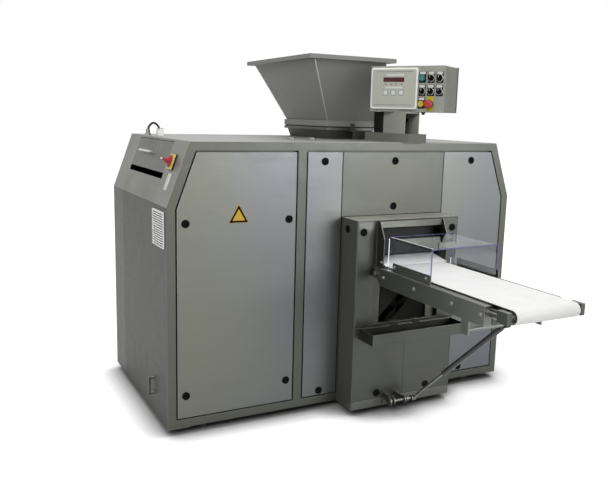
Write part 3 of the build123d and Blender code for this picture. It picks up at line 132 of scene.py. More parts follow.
# %% [markdown]
# ## Nodes in code
# Materials are trees of shader nodes. One helper adds a node, sets its options and fills its inputs. An input
# that is given another node's output is linked to it. Short helpers for the commonest nodes hand back their
# output. The last two start a node group and place one, which is how an effect that many finishes share is
# built once and then used in each with its own values.


# %% Node helpers
def add(tree, kind, inputs=None, **options):
    """A new node with its options set, and each input given a value or linked to another node's output."""
    node = tree.nodes.new(kind)
    for name, value in options.items():
        setattr(node, name, value)
    for name, value in (inputs or {}).items():
        if isinstance(value, bpy.types.NodeSocket):
            tree.links.new(value, node.inputs[name])
        else:
            node.inputs[name].default_value = value
    return node


def object_place(tree):
    """The place on the surface in the object's own coordinates."""
    return add(tree, "ShaderNodeTexCoord").outputs["Object"]


def noise(tree, place, scale, detail, distortion=0.0):
    """The value of a noise texture at a place."""
    inputs = {"Vector": place, "Scale": scale, "Detail": detail, "Distortion": distortion}
    return add(tree, "ShaderNodeTexNoise", inputs).outputs["Fac"]


def blend_colours(tree, factor, first, second):
    """A colour that goes from the first to the second by a factor."""
    node = add(tree, "ShaderNodeMix", {0: factor, 6: first, 7: second}, data_type="RGBA")
    return node.outputs[2]


def remap(tree, value, low, high, out_low, out_high):
    """A range of values spread over another one."""
    limits = {"Value": value, "From Min": low, "From Max": high, "To Min": out_low, "To Max": out_high}
    return add(tree, "ShaderNodeMapRange", limits).outputs["Result"]


def calculate(tree, operation, first, second):
    """Two values added, multiplied or compared."""
    return add(tree, "ShaderNodeMath", {0: first, 1: second}, operation=operation).outputs[0]


def start_group(name, label, kind, value, outputs):
    """An empty shader node group with one input and named outputs, that input, and the end node."""
    tree = bpy.data.node_groups.new(name, "ShaderNodeTree")
    tree.interface.new_socket(label, in_out="INPUT", socket_type=kind).default_value = value
    for output, output_kind in outputs.items():
        tree.interface.new_socket(output, in_out="OUTPUT", socket_type=output_kind)
    entry = tree.nodes.new("NodeGroupInput").outputs[label]
    return tree, entry, tree.nodes.new("NodeGroupOutput").inputs


def use_group(tree, group, inputs=None):
    """The outputs of a group that is placed in a material with its own values."""
    return add(tree, "ShaderNodeGroup", inputs, node_tree=group).outputs


number = "NodeSocketFloat"
vector = "NodeSocketVector"
print("node helpers ready")

# %% [markdown]
# ## Shared effects
# Stainless sheet is brushed: thousands of fine parallel scratches that all run one way. A noise texture that
# is squeezed hard across the grain and hardly at all along it gives those lines. A broad wave and a second
# noise stand for the slow change of tone along the coil, and a third for the slight waves that no rolled
# sheet is free of. Fingers leave faint smears. A Bevel node finds bends and cut edges by comparing the true
# surface with a rounded one, and steel is painted paler there as a painted highlight. Paint and plastic have
# a fine grain and dust in patches. Faces that look up are painted paler and less metallic in patches, a
# painted highlight for the light from above.

# %% Brushed grain
brushed_grain, lines_in, ends = start_group(
    "brushed grain", "Lines", vector, (3.0, 3.0, 700.0), {"Grain": number, "Streak": number}
)
squeezed = add(
    brushed_grain, "ShaderNodeVectorMath", {0: object_place(brushed_grain), 1: lines_in}, operation="MULTIPLY"
).outputs[0]
brushed_grain.links.new(noise(brushed_grain, squeezed, 1.0, 3.0), ends["Grain"])
brushed_grain.links.new(noise(brushed_grain, squeezed, 0.09, 2.0), ends["Streak"])
print("group:", brushed_grain.name)

# %% Sheet tone and waves
sheet_tone, patch_in, ends = start_group(
    "sheet tone", "Patch", number, 1.6, {"Tone": number, "Waves": number}
)
sheet_place = object_place(sheet_tone)
coil = {"Vector": sheet_place, "Scale": 0.3, "Distortion": 1.2, "Phase Offset": 4.8}
coil_wave = add(sheet_tone, "ShaderNodeTexWave", coil).outputs["Fac"]
spots = remap(sheet_tone, noise(sheet_tone, sheet_place, patch_in, 2.0), 0.3, 0.7, 0.0, 0.4)
drift = remap(sheet_tone, coil_wave, 0.0, 1.0, 0.0, 0.6)
sheet_tone.links.new(calculate(sheet_tone, "ADD", drift, spots), ends["Tone"])
sheet_tone.links.new(noise(sheet_tone, sheet_place, 3.2, 1.0), ends["Waves"])
print("group:", sheet_tone.name)

# %% Handling marks
handling_marks, size_in, ends = start_group("handling marks", "Size", number, 9.0, {"Smear": number})
smear = noise(handling_marks, object_place(handling_marks), size_in, 5.0, 1.2)
handling_marks.links.new(remap(handling_marks, smear, 0.48, 0.74, 0.0, 1.0), ends["Smear"])
print("group:", handling_marks.name)

# %% Edges for wear and painted highlight
edge_wear_and_highlight, radius_in, ends = start_group(
    "edge wear and highlight", "Radius", number, 0.0015, {"Edge": number, "Normal": vector}
)
rounded = add(edge_wear_and_highlight, "ShaderNodeBevel", {"Radius": radius_in}, samples=4).outputs[0]
true_normal = add(edge_wear_and_highlight, "ShaderNodeNewGeometry").outputs["Normal"]
likeness = add(edge_wear_and_highlight, "ShaderNodeVectorMath", {0: rounded, 1: true_normal}, operation="DOT_PRODUCT")
edge_wear_and_highlight.links.new(remap(edge_wear_and_highlight, likeness.outputs["Value"], 0.98, 0.8, 0.0, 1.0), ends["Edge"])
edge_wear_and_highlight.links.new(rounded, ends["Normal"])
print("group:", edge_wear_and_highlight.name)

# %% Moulded grain
moulded_grain, fineness_in, ends = start_group(
    "moulded grain", "Fineness", number, 700.0, {"Height": number, "Dust": number}
)
moulded_place = object_place(moulded_grain)
dust_patches = noise(moulded_grain, moulded_place, 14.0, 4.0)
moulded_grain.links.new(noise(moulded_grain, moulded_place, fineness_in, 2.0), ends["Height"])
moulded_grain.links.new(remap(moulded_grain, dust_patches, 0.42, 0.72, 0.0, 1.0), ends["Dust"])
print("group:", moulded_grain.name)

# %% Painted top light
painted_top_light, patch_in, ends = start_group("painted top light", "Patch", number, 5.0, {"Up Facing": number})
facing = add(painted_top_light, "ShaderNodeNewGeometry").outputs["Normal"]
facing_up = add(painted_top_light, "ShaderNodeSeparateXYZ", {0: facing}).outputs["Z"]
lying = remap(painted_top_light, facing_up, 0.05, 0.5, 0.0, 1.0)
cloud = noise(painted_top_light, object_place(painted_top_light), patch_in, 4.0)
patchy = remap(painted_top_light, cloud, 0.3, 0.7, 0.7, 1.0)
painted_top_light.links.new(calculate(painted_top_light, "MULTIPLY", lying, patchy), ends["Up Facing"])
print("group:", painted_top_light.name)

# %% [markdown]
# ## Finishes
# Colours are written as they look on a screen, from 0 to 255, and turned into the linear values that shaders
# work with. Brushed steel is one function for all the sheet metal: the covers, the frame and the hopper
# differ in tone, in the direction of their grain and in how dull they are. The left end is one sheet whose
# rear strip is painted paler than its middle, and whose slanted upper front strip is painted paler as a
# highlight for the light that its slant catches. Paint, plastic and rubber share a second function, because
# each is a coloured coat over a fine grain, dusty in patches and paler where hands rub.


# %% Colour and start of a material
def colour(red, green, blue):
    """A screen colour as the linear colour of a shader."""
    linear = []
    for value in (red, green, blue):
        share = value / 255
        linear.append(share / 12.92 if share <= 0.04045 else ((share + 0.055) / 1.055) ** 2.4)
    return (*linear, 1.0)


def lighter(linear, times):
    """A linear colour made brighter, at most white."""
    return (*(min(1.0, value * times) for value in linear[:3]), 1.0)


def start_material(name):
    """The node tree of a new material and the inputs of its Principled shader."""
    material = bpy.data.materials.new(name)
    material.use_nodes = True
    print("finish:", name)
    return material.node_tree, material.node_tree.nodes["Principled BSDF"].inputs


# The colour that faces looking up are painted towards, a painted highlight.
top_light_colour = colour(216, 214, 206)
print("flour is", [round(value, 2) for value in top_light_colour[:3]])


# %% Brushed steel
def pale_and_highlight_strips(tree, front_seam, rear_seam, bend):
    """A mask of the strip behind the rear seam and, above the bend, of the strip before the front seam."""
    place = add(tree, "ShaderNodeSeparateXYZ", {0: object_place(tree)}).outputs
    rear_strip = calculate(tree, "GREATER_THAN", place["Y"], rear_seam)
    front_strip = calculate(tree, "LESS_THAN", place["Y"], front_seam)
    slanted = calculate(tree, "GREATER_THAN", place["Z"], bend)
    return calculate(tree, "MAXIMUM", rear_strip, calculate(tree, "MULTIPLY", front_strip, slanted))


def bump(tree, strength, distance, height, normal):
    """A normal that is tilted by a height over the surface."""
    inputs = {"Strength": strength, "Distance": distance, "Height": height, "Normal": normal}
    return add(tree, "ShaderNodeBump", inputs).outputs["Normal"]


def brushed_steel(
    name, warm, cool, lines, dullness, edge=0.0015, metal=1.0, top_light_share=0.2, glance=1.0, borders=None
):
    """Stainless sheet: two tones of it, the squeeze of its grain along X, Y and Z, and its dullness.

    Edge is the radius of the edges that are painted paler as a highlight, glance dims what a flat angle
    mirrors, borders are the seams beyond which the sheet is painted paler, and top light share paints faces
    that look up paler.
    """
    tree, shader = start_material(name)
    warm = colour(*warm)
    cool = colour(*cool)
    pale = lighter(cool, 1.45)
    grain = use_group(tree, brushed_grain, {"Lines": lines})
    tone = use_group(tree, sheet_tone)
    smear = use_group(tree, handling_marks)["Smear"]
    edges = use_group(tree, edge_wear_and_highlight, {"Radius": edge})
    up_facing_share = use_group(tree, painted_top_light)["Up Facing"]
    sheet = blend_colours(tree, tone["Tone"], warm, cool)
    # Painted paler strips beyond the seams; on the slanted front strip this is a painted highlight for the
    # light the slant catches.
    if borders:
        sheet = blend_colours(tree, pale_and_highlight_strips(tree, *borders), sheet, pale)
    lined = blend_colours(tree, remap(tree, grain["Grain"], 0.3, 0.8, 0.0, 0.3), sheet, pale)
    streaked = blend_colours(tree, remap(tree, grain["Streak"], 0.4, 0.75, 0.0, 0.1), lined, pale)
    # Painted highlight: the edge mask turns the steel much paler at bends and cut edges.
    painted_edge_highlight = calculate(tree, "MULTIPLY", edges["Edge"], 0.7)
    edges_rubbed_and_highlit = blend_colours(tree, painted_edge_highlight, streaked, lighter(cool, 2.4))
    # Painted highlight: faces that look up turn paler here and less metallic below.
    top_lit = blend_colours(tree, calculate(tree, "MULTIPLY", up_facing_share, top_light_share), edges_rubbed_and_highlit, top_light_colour)
    tree.links.new(top_lit, shader["Base Color"])
    tree.links.new(remap(tree, up_facing_share, 0.0, 1.0, metal, metal * 0.7), shader["Metallic"])
    dull = remap(tree, grain["Grain"], 0.3, 0.7, dullness - 0.04, dullness + 0.05)
    smeared = calculate(tree, "MULTIPLY", smear, 0.07)
    tree.links.new(calculate(tree, "ADD", dull, smeared), shader["Roughness"])
    wavy = bump(tree, 0.35, 0.004, tone["Waves"], edges["Normal"])
    tree.links.new(bump(tree, 0.6, 0.0005, grain["Grain"], wavy), shader["Normal"])
    shader["Specular Tint"].default_value = (glance, glance, glance, 1.0)


print("brushed steel ready")


# %% Painted, moulded and rubber surfaces
def coated(name, main, dusty, roughness, fineness=700.0, dust=0.25, relief=0.12, edge=0.2, shine=0.5):
    """A coloured coat over a fine grain, with dust in patches and paler edges."""
    tree, shader = start_material(name)
    main = colour(*main)
    dusty = colour(*dusty)
    moulded = use_group(tree, moulded_grain, {"Fineness": fineness})
    edges = use_group(tree, edge_wear_and_highlight, {"Radius": 0.0008})
    plain = blend_colours(tree, calculate(tree, "MULTIPLY", moulded["Dust"], dust), main, dusty)
    edges_rubbed_and_highlit = blend_colours(tree, calculate(tree, "MULTIPLY", edges["Edge"], edge), plain, dusty)
    tree.links.new(edges_rubbed_and_highlit, shader["Base Color"])
    rough = remap(tree, moulded["Dust"], 0.0, 1.0, roughness, min(1.0, roughness + 0.18))
    tree.links.new(rough, shader["Roughness"])
    tree.links.new(bump(tree, relief, 0.0004, moulded["Height"], edges["Normal"]), shader["Normal"])
    shader["Specular IOR Level"].default_value = shine


print("coats ready")

# %% The steels of this machine
along_x = (2.5, 2.5, 650.0)
upright = (650.0, 650.0, 2.5)
flat_along_x = (2.5, 650.0, 650.0)
end_tones = ((92, 93, 87), (88, 90, 88))
end_look = {"dullness": 0.42, "edge": 0.004, "glance": 0.62}
bend_height = 968 * mm
flap_low, flap_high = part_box("end_flap")
seams = (flap_low.y - 1 * mm, flap_high.y + 1 * mm, bend_height)
brushed_steel("panel steel", (100, 101, 88), (93, 95, 100), along_x, 0.42, edge=0.004)
# Painted shadow: a darker copy of the cover steel for the console arm's shadow on the upper cover.
brushed_steel("upper cover steel", (79, 80, 72), (75, 77, 77), along_x, 0.4, edge=0.004)
brushed_steel("end sheet steel", *end_tones, along_x, top_light_share=0.42, **end_look)
brushed_steel("left end steel", *end_tones, along_x, top_light_share=0.42, borders=seams, **end_look)
brushed_steel("end flap steel", *end_tones, along_x, top_light_share=0.26, **end_look)
brushed_steel("frame steel", (80, 81, 74), (76, 78, 74), along_x, 0.45, edge=0.002, metal=0.9)
brushed_steel("housing steel", (90, 91, 85), (85, 87, 84), along_x, 0.45, edge=0.002, metal=0.7, top_light_share=0.55)
# Painted shade: a darker copy of the cover steel for the parts in the shade under the conveyor.
brushed_steel("outlet steel", (76, 77, 72), (73, 75, 74), along_x, 0.34, edge=0.003)
brushed_steel("top sheet steel", (121, 122, 118), (116, 118, 118), flat_along_x, 0.54)
brushed_steel("hopper steel", (122, 123, 116), (116, 118, 117), upright, 0.6, edge=0.0008, metal=0.1)
brushed_steel("bright steel", (112, 113, 107), (107, 110, 108), along_x, 0.38)
brushed_steel("polished rod", (112, 112, 110), (108, 109, 112), upright, 0.18)
brushed_steel("polished bar", (176, 176, 173), (172, 174, 176), along_x, 0.2)
brushed_steel("ground weld", (176, 177, 170), (170, 172, 170), upright, 0.4, metal=0.5)

# %% The coats of this machine
coated("black plastic", (13, 13, 14), (46, 46, 45), 0.48, dust=0.15, shine=0.2)
coated("black matt", (10, 10, 11), (30, 30, 30), 0.6, dust=0.1, shine=0.05)
coated("black rubber", (20, 20, 20), (64, 62, 59), 0.62, shine=0.25)
coated("foot rubber", (46, 46, 46), (104, 102, 97), 0.7)
coated("white plastic", (214, 214, 208), (176, 174, 165), 0.45)
coated("console paint", (148, 150, 141), (170, 171, 163), 0.5, fineness=420.0, shine=0.25)
coated("machine paint", (76, 86, 96), (128, 128, 124), 0.45)
coated("ivory plastic", (172, 174, 162), (156, 155, 142), 0.45, shine=0.3)
coated("filter white", (240, 240, 239), (214, 212, 205), 0.5, dust=0.15)
coated("green plastic", (28, 108, 106), (80, 136, 134), 0.3, dust=0.12)
coated("yellow plastic", (180, 171, 40), (160, 154, 66), 0.34, dust=0.2, shine=0.3)
coated("arm paint", (114, 115, 108), (130, 130, 124), 0.55, fineness=420.0, shine=0.15)
coated("pale yellow", (206, 194, 104), (190, 182, 120), 0.4, dust=0.2, shine=0.3)
coated("sign paint", (206, 164, 36), (180, 150, 60), 0.4, dust=0.2, shine=0.3)
coated("red plastic", (172, 28, 25), (150, 56, 50), 0.3, dust=0.15)
coated("switch red", (146, 28, 32), (150, 62, 60), 0.35, dust=0.15, shine=0.35)
coated("edge ivory", (228, 229, 224), (206, 205, 196), 0.4)
coated("key white", (204, 206, 200), (190, 190, 182), 0.45, shine=0.3)
coated("black paint", (30, 30, 31), (88, 86, 82), 0.36)
coated("white belt", (249, 249, 248), (238, 237, 233), 0.55, fineness=900.0, dust=0.5, relief=0.3, edge=0.1)

# %% [markdown]
# ## The clear guard
# The guard over the belt is a bent sheet of clear plastic. Glass with a plain transmission is right for its
# faces, and a Bevel node tints its edges. Years of wiping leave faint hazy smears, which only change the
# roughness. A clear sheet throws almost no shadow, so shadow rays and diffuse rays find it nearly open.

# %% Clear sheet
clear_tree, clear = start_material("clear guard")
clear_smear = use_group(clear_tree, handling_marks, {"Size": 14.0})["Smear"]
clear_tree.links.new(remap(clear_tree, clear_smear, 0.0, 1.0, 0.02, 0.09), clear["Roughness"])
rays = add(clear_tree, "ShaderNodeLightPath").outputs
passing = calculate(clear_tree, "MAXIMUM", rays["Is Shadow Ray"], rays["Is Diffuse Ray"])
clear_tree.links.new(remap(clear_tree, passing, 0.0, 1.0, 1.0, 0.06), clear["Alpha"])
clear_edge = use_group(clear_tree, edge_wear_and_highlight, {"Radius": 0.0012})["Edge"]
tint = blend_colours(clear_tree, clear_edge, colour(246, 248, 252), colour(150, 154, 196))
clear_tree.links.new(tint, clear["Base Color"])
clear["Transmission Weight"].default_value = 1.0
clear["IOR"].default_value = 1.45

# %% [markdown]
# ## Finishes on the CAD pieces
# Each node of the frame belongs to one material slot of the record, and a slot's finish bears its name. Some
# nodes differ from their slot: the end sheets mirror less at a flat angle than the covers, the top sheet is
# brushed lengthways, and the knobs are matt. The upper cover takes a darker copy of the cover steel, a painted
# shadow of the console arm; the outlet parts take a darker copy too, a painted shade under the conveyor; and
# the outlet flap is black, a painted shade for the dark opening.


# %% Slots to finishes
def finish_of(slot):
    """The finish that bears the name of a slot."""
    return bpy.data.materials[slot.replace("_", " ")]


knobs = ("left_dial", "right_dial", "left_selector", "middle_selector", "right_selector")
outlet_nodes = ("housing_covers", "outlet_cheeks", "catch_tray", "bearing_blocks")
finish_of_node = {
    "left_end_panel": "left end steel",
    "right_end_panel": "end sheet steel",
    "rear_panel": "end sheet steel",
    "end_flap": "end flap steel",
    "upper_cover": "upper cover steel",
    "top_plate": "top sheet steel",
    "outfeed_housing": "housing steel",
    "console_arm": "arm paint",
    "feed_throat": "frame steel",
    "flap_handle": "polished bar",
    "display_unit": "edge ivory",
    "isolator_plate": "pale yellow",
    # Painted shade: the outlet flap is black for the dark of the opening.
    "outlet_flap": "black plastic",
    **dict.fromkeys(outlet_nodes, "outlet steel"),
    **dict.fromkeys(knobs, "black matt"),
}
for subpart in frame["record"]["subparts"]:
    finish = finish_of(finish_of_node.get(subpart["node"], subpart["material_slot"]))
    for material_slot in nodes[subpart["node"]].material_slots:
        material_slot.material = finish

# %% [markdown]
# ## Working by hand in code
# The small pieces are modelled as they would be with the mouse: a primitive at its size, then edit mode with
# insets, extrusions and bevels, all in millimetres. Faces and edges are picked by where they are and which
# way they point. A piece that is needed many times is modelled once, copied to each of its seats and joined.


# %% Modelling helpers
def activate(piece):
    """Make one object the only selected one."""
    bpy.ops.object.select_all(action="DESELECT")
    piece.select_set(True)
    bpy.context.view_layer.objects.active = piece


def edit(piece):
    """Open a piece in edit mode with everything selected."""
    activate(piece)
    bpy.ops.object.mode_set(mode="EDIT")
    bpy.ops.mesh.select_all(action="SELECT")


def pick(piece, test, kind="FACE"):
    """Select the faces or edges in edit mode whose middle and direction pass a test."""
    bpy.ops.mesh.select_mode(type=kind)
    bpy.ops.mesh.select_all(action="DESELECT")
    mesh = bmesh.from_edit_mesh(piece.data)
    for item in mesh.faces if kind == "FACE" else mesh.edges:
        places = [corner.co for corner in item.verts]
        middle = sum(places, Vector()) / len(places)
        direction = item.normal if kind == "FACE" else (places[1] - places[0]).normalized()
        if test(middle, direction):
            item.select_set(True)
    bmesh.update_edit_mesh(piece.data)


def faces_up(middle, normal):
    return normal.z > 0.99


def faces_down(middle, normal):
    return normal.z < -0.99


def edit_faces(piece, test):
    """Open a piece in edit mode with some of its faces selected."""
    edit(piece)
    pick(piece, test)


def inset(thickness, depth=0.0):
    """Draw the selected faces in, and up or down where asked."""
    bpy.ops.mesh.inset(thickness=thickness * mm, depth=depth * mm)


def extrude(height):
    """Draw the selected faces out along z."""
    bpy.ops.mesh.extrude_region_move(TRANSFORM_OT_translate={"value": (0, 0, height * mm)})


def bevel(offset, segments, affect="EDGES"):
    """Round the selected edges or corners."""
    bpy.ops.mesh.bevel(offset=offset * mm, segments=segments, affect=affect)


def close(piece):
    """Turn all faces outward and leave edit mode."""
    bpy.ops.mesh.select_all(action="SELECT")
    bpy.ops.mesh.normals_make_consistent(inside=False)
    bpy.ops.object.mode_set(mode="OBJECT")
    return piece


print("modelling helpers ready")


# %% Blanks
def disc(radius, height, sides=32):
    """A round blank that stands on the ground plane."""
    bpy.ops.object.select_all(action="DESELECT")
    middle = (0, 0, height * mm / 2)
    bpy.ops.mesh.primitive_cylinder_add(
        vertices=sides, radius=radius * mm, depth=height * mm, location=middle
    )
    bpy.ops.object.transform_apply(location=True)
    return bpy.context.object


def plate(width, length, thickness, corner=0.0):
    """A flat blank that lies on the ground plane, with rounded upright corners where asked."""
    bpy.ops.object.select_all(action="DESELECT")
    size = (width * mm, length * mm, thickness * mm)
    bpy.ops.mesh.primitive_cube_add(size=1, location=(0, 0, size[2] / 2), scale=size)
    bpy.ops.object.transform_apply(location=True, scale=True)
    blank = bpy.context.object
    if corner:
        edit(blank)
        pick(blank, lambda middle, direction: abs(direction.z) > 0.99, "EDGE")
        bevel(corner, 4)
        close(blank)
    return blank


def thicken(blank, thickness, corner, border):
    """Give a flat face thickness, with rounded corners and as a border alone where asked."""
    edit(blank)
    if corner:
        bevel(corner, 4, affect="VERTICES")
    bpy.ops.mesh.select_mode(type="FACE")
    bpy.ops.mesh.select_all(action="SELECT")
    if border:
        inset(border)
        bpy.ops.mesh.delete(type="FACE")
        bpy.ops.mesh.select_all(action="SELECT")
    extrude(thickness)
    return close(blank)


def ring(width, length, border, depth, corner=0.0):
    """A flat rectangular frame."""
    bpy.ops.object.select_all(action="DESELECT")
    bpy.ops.mesh.primitive_plane_add(size=1)
    blank = bpy.context.object
    blank.scale = (width * mm, length * mm, 1)
    bpy.ops.object.transform_apply(scale=True)
    return thicken(blank, depth, corner, border)


def even_plate(sides, radius, thickness, corner=0.0, border=0.0):
    """A flat shape with even sides, as a whole plate or as a border of some width."""
    bpy.ops.object.select_all(action="DESELECT")
    bpy.ops.mesh.primitive_circle_add(vertices=sides, radius=radius * mm, fill_type="NGON")
    return thicken(bpy.context.object, thickness, corner, border)


def round_rim(piece, offset, segments):
    """Round the rim of the upper face of a blank."""
    edit_faces(piece, faces_up)
    bevel(offset, segments)
    return close(piece)


print("blanks: disc, plate, ring, even plate")


# %% Copies and handing over
def join(pieces):
    """Several objects joined as one."""
    bpy.ops.object.select_all(action="DESELECT")
    for piece in pieces:
        piece.select_set(True)
    bpy.context.view_layer.objects.active = pieces[0]
    if len(pieces) > 1:
        bpy.ops.object.join()
    bpy.ops.object.transform_apply(location=True, rotation=True, scale=True)
    return bpy.context.object


def set_out(pattern, seats):
    """Copies of a pattern laid on its seats and joined; the pattern itself is used up."""
    copies = []
    for place in seats:
        activate(pattern)
        bpy.ops.object.duplicate()
        copy = bpy.context.object
        copy.matrix_world = place
        copies.append(copy)
    bpy.data.objects.remove(pattern)
    return join(copies)


def hand_over(piece, name, body, slot, finish=None):
    """Name a piece, let it ride on its body, and give it a finish, by default the one of its slot."""
    piece.name = name
    piece.data.materials.clear()
    piece.data.materials.append(finish_of(finish or slot))
    activate(piece)
    bpy.ops.object.shade_smooth_by_angle(angle=radians(40))
    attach(piece, body)
    print(name, "on", body, "faces", len(piece.data.polygons))
    return piece


def lay_out(pattern, seats, *handing_over):
    """Copies of a pattern laid on its seats and handed over."""
    return hand_over(set_out(pattern, seats), *handing_over)


print("copies and handing over ready")

# %% [markdown]
# ## Cover locks
# Each cover is held by quarter-turn locks. Seen from outside, a lock is a black cap with a rounded rim, a
# raised centre and a small hole for the key. Its barrel goes back through the sheet. The cap is a disc: the
# rim is bevelled, the top is inset in steps, and the barrel is extruded from the underside.

# %% Lock caps
lock = round_rim(disc(17, 4), 1.8, 3)
edit_faces(lock, faces_up)
for inward, lift in ((3.5, 0), (1.2, -0.8), (4.5, 0.6), (0.6, -2.2)):
    inset(inward, lift)
pick(lock, faces_down)
inset(5)
extrude(-16)
close(lock)
cover_lock_places = [
    (-795.5, 170), (-795.5, 900), (-332.5, 170), (-332.5, 900), (-162.75, 94.5), (-162.75, 1146.5),
    (205.5, 938), (205.5, 1146.5), (650.1, 94.5), (650.1, 1146.5),
]
housing_lock_places = [(-35.5, 847), (446.5, 847), (65.5, 96), (341.5, 96)]
housing_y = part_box("housing_covers")[0].y + 18 * mm
housing_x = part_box("outfeed_housing")[0].x
lock_seats = [front_seat(x * mm, front_y, z * mm) for x, z in cover_lock_places]
lock_seats += [front_seat(x * mm, housing_y, z * mm) for x, z in housing_lock_places]
lock_seats.append(left_seat(housing_x, -71 * mm, 852 * mm))
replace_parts(lay_out(lock, lock_seats, "lock_caps", "cabinet", "black_plastic", "black matt"), "cover_locks")

# %% [markdown]
# ## The yellow sign
# A yellow triangle sits on the large cover. It is left bare here: a thin plate with rounded corners and a
# black border. Both start as a circle with three corners, because that is an even triangle with its point up.

# %% Triangle plate and border
sign_radius = 52
sign_x = (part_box("left_cover")[0].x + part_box("left_cover")[1].x) / 2
sign_seats = [front_seat(sign_x, front_y, (894 + sign_radius / 2) * mm)]
sign = even_plate(3, sign_radius, 0.8, 5)
lay_out(sign, sign_seats, "yellow_sign", "cabinet", "yellow_plastic", "sign paint")
border = even_plate(3, sign_radius - 3, 1.1, 4.5, 8)
lay_out(border, sign_seats, "sign_border", "cabinet", "black_plastic", "black matt")

# %% [markdown]
# ## The console
# The console stands turned towards the operator, so its seats are turned as well. How far the box reaches
# along its own directions gives the plane of its face and its middle. The display's white rim holds a grey
# membrane with a dark red window, four lamps, three keys, thin rules and bare strips. The plates above the
# knobs are bare too, as is the whole machine. Each knob carries a white mark and stands in a bright rim.

# %% Console seats
console_turn = radians(-57)
console_right = Vector((cos(console_turn), sin(console_turn), 0))
console_out = console_right.cross(Vector((0, 0, 1)))


def reach(name, direction):
    """How far a CAD node reaches along a direction."""
    return max(direction.dot(corner.co) for corner in nodes[name].data.vertices)


console_middle = (reach("console_box", console_right) - reach("console_box", -console_right)) / 2
console_face = reach("console_box", console_out)
console_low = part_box("console_box")[0].z
display_out = (reach("display_unit", console_out) - console_face) / mm


def console_seat(x, z, out):
    """A seat on the face of the console, from its lower middle, in millimetres."""
    place = console_right * (console_middle + x * mm) + console_out * (console_face + out * mm)
    place.z = console_low + z * mm
    return seat(place, console_right, (0, 0, 1))


print("display stands", round(display_out, 1), "mm in front of the face")

# %% Display membrane and window
coated("window glass", (64, 10, 18), (92, 30, 38), 0.2, dust=0.15, relief=0.02, edge=0.3, shine=0.3)
display_left = -175
display_top = 199
membrane_thickness = 0.4


def display_seat(right, down, out=display_out + membrane_thickness):
    """A seat on the membrane, from the upper left corner of the display, in millimetres."""
    return console_seat(display_left + right, display_top - down, out)


membrane = plate(217, 172, membrane_thickness, 8)
lay_out(membrane, [display_seat(116.5, 94, display_out)], "display_membrane", "console", "ivory_plastic")
window = plate(104, 20.5, 0.8, 1.5)
edit_faces(window, faces_up)
inset(1.2, -0.4)
close(window)
lay_out(window, [display_seat(115.5, 54)], "display_window", "console", "red_plastic", "window glass")

# %% Lamps, keys and rules of the display
coated("rule ink", (104, 116, 130), (140, 146, 150), 0.5)
lamp = round_rim(disc(2.6, 1, 16), 0.5, 2)
lamp_seats = [display_seat(x, 75) for x in (77, 103, 128.5, 154)]
lay_out(lamp, lamp_seats, "display_lamps", "console", "black_plastic")
key = round_rim(plate(20, 20, 1.2, 5), 0.6, 2)
key_seats = [display_seat(x, 113) for x in (76, 115, 154)]
lay_out(key, key_seats, "display_keys", "console", "white_plastic", "key white")
outline = ring(25, 25, 2.5, 0.5, 7)
lay_out(outline, key_seats, "key_outlines", "console", "machine_paint", "rule ink")
rule = plate(190, 2.4, 0.3, 0.8)
rule_seats = [display_seat(114, 18), display_seat(112, 168)]
lay_out(rule, rule_seats, "display_rules", "console", "machine_paint", "rule ink")
bare_strip = plate(86, 8, 0.3, 1.5)
strip_seats = [display_seat(123, 32), display_seat(116, 89)]
lay_out(bare_strip, strip_seats, "display_strips", "console", "white_plastic", "key white")

# %% Plates and stop collar
bezel_thickness = 3
stop_place = (116, 37)
bezel_places = [(x, z) for x in (75, 116, 157) for z in (153, 94)] + [(75, 37)]
label = round_rim(plate(27, 11.5, 1, 1.5), 0.4, 2)
label_seats = [console_seat(x, z + 22.3, bezel_thickness) for x, z in bezel_places]
lay_out(label, label_seats, "bare_plates", "console", "white_plastic", "key white")
stop_plate = round_rim(plate(34, 67, 1, 2), 0.4, 2)
lay_out(stop_plate, [console_seat(116, 38.5, bezel_thickness)], "stop_plate", "console", "yellow_plastic")
collar = round_rim(disc(16, 8, 48), 0.8, 2)
edit_faces(collar, faces_up)
inset(2.4)
inset(0.2, -7.6)
close(collar)
lay_out(collar, [console_seat(*stop_place, bezel_thickness + 1)], "stop_collar", "console", "black_plastic")

# %% Knob marks and rims
dial_top = 25.3
selector_top = 18.3
knob_places = {
    "left_dial_knob": (116, 153, dial_top),
    "right_dial_knob": (157, 153, dial_top),
    "left_selector_knob": (75, 94, selector_top),
    "middle_selector_knob": (116, 94, selector_top),
    "right_selector_knob": (157, 94, selector_top),
}
for knob, (x, z, out) in knob_places.items():
    mark = plate(1.8, 9, 0.4, 0.6)
    lay_out(mark, [console_seat(x, z + 6, out)], knob + "_mark", knob, "white_plastic", "key white")
rim_radius = 16.4
rim_height = 3.4
rim = even_plate(48, rim_radius, rim_height, border=2)


def on_outer_edge(middle, along):
    """True for the edges round the top of the rim's outer wall."""
    return middle.z > (rim_height - 0.4) * mm and middle.xy.length > (rim_radius - 0.4) * mm


edit(rim)
pick(rim, on_outer_edge, "EDGE")
bevel(1.2, 3)
close(rim)
rim_seats = [console_seat(x, z, bezel_thickness) for x, z, out in knob_places.values()]
lay_out(rim, rim_seats, "knob_rims", "console", "bright_steel", "polished bar")

# %% [markdown]
# ## The stop button
# A stop button is a mushroom that a flat hand can hit. The head is a disc with a very wide rounded rim, and
# the neck is extruded from its underside, which runs in the collar on the yellow plate. It takes the place of
# the plain CAD button and rides on the same slide.

# %% Mushroom head
stop_head = round_rim(disc(20, 14, 48), 9, 7)
edit_faces(stop_head, faces_down)
inset(2)
inset(6, -3)
extrude(-14)
close(stop_head)
stop_seats = [console_seat(*stop_place, 22)]
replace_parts(lay_out(stop_head, stop_seats, "stop_head", "stop_push", "red_plastic"), "estop_button")

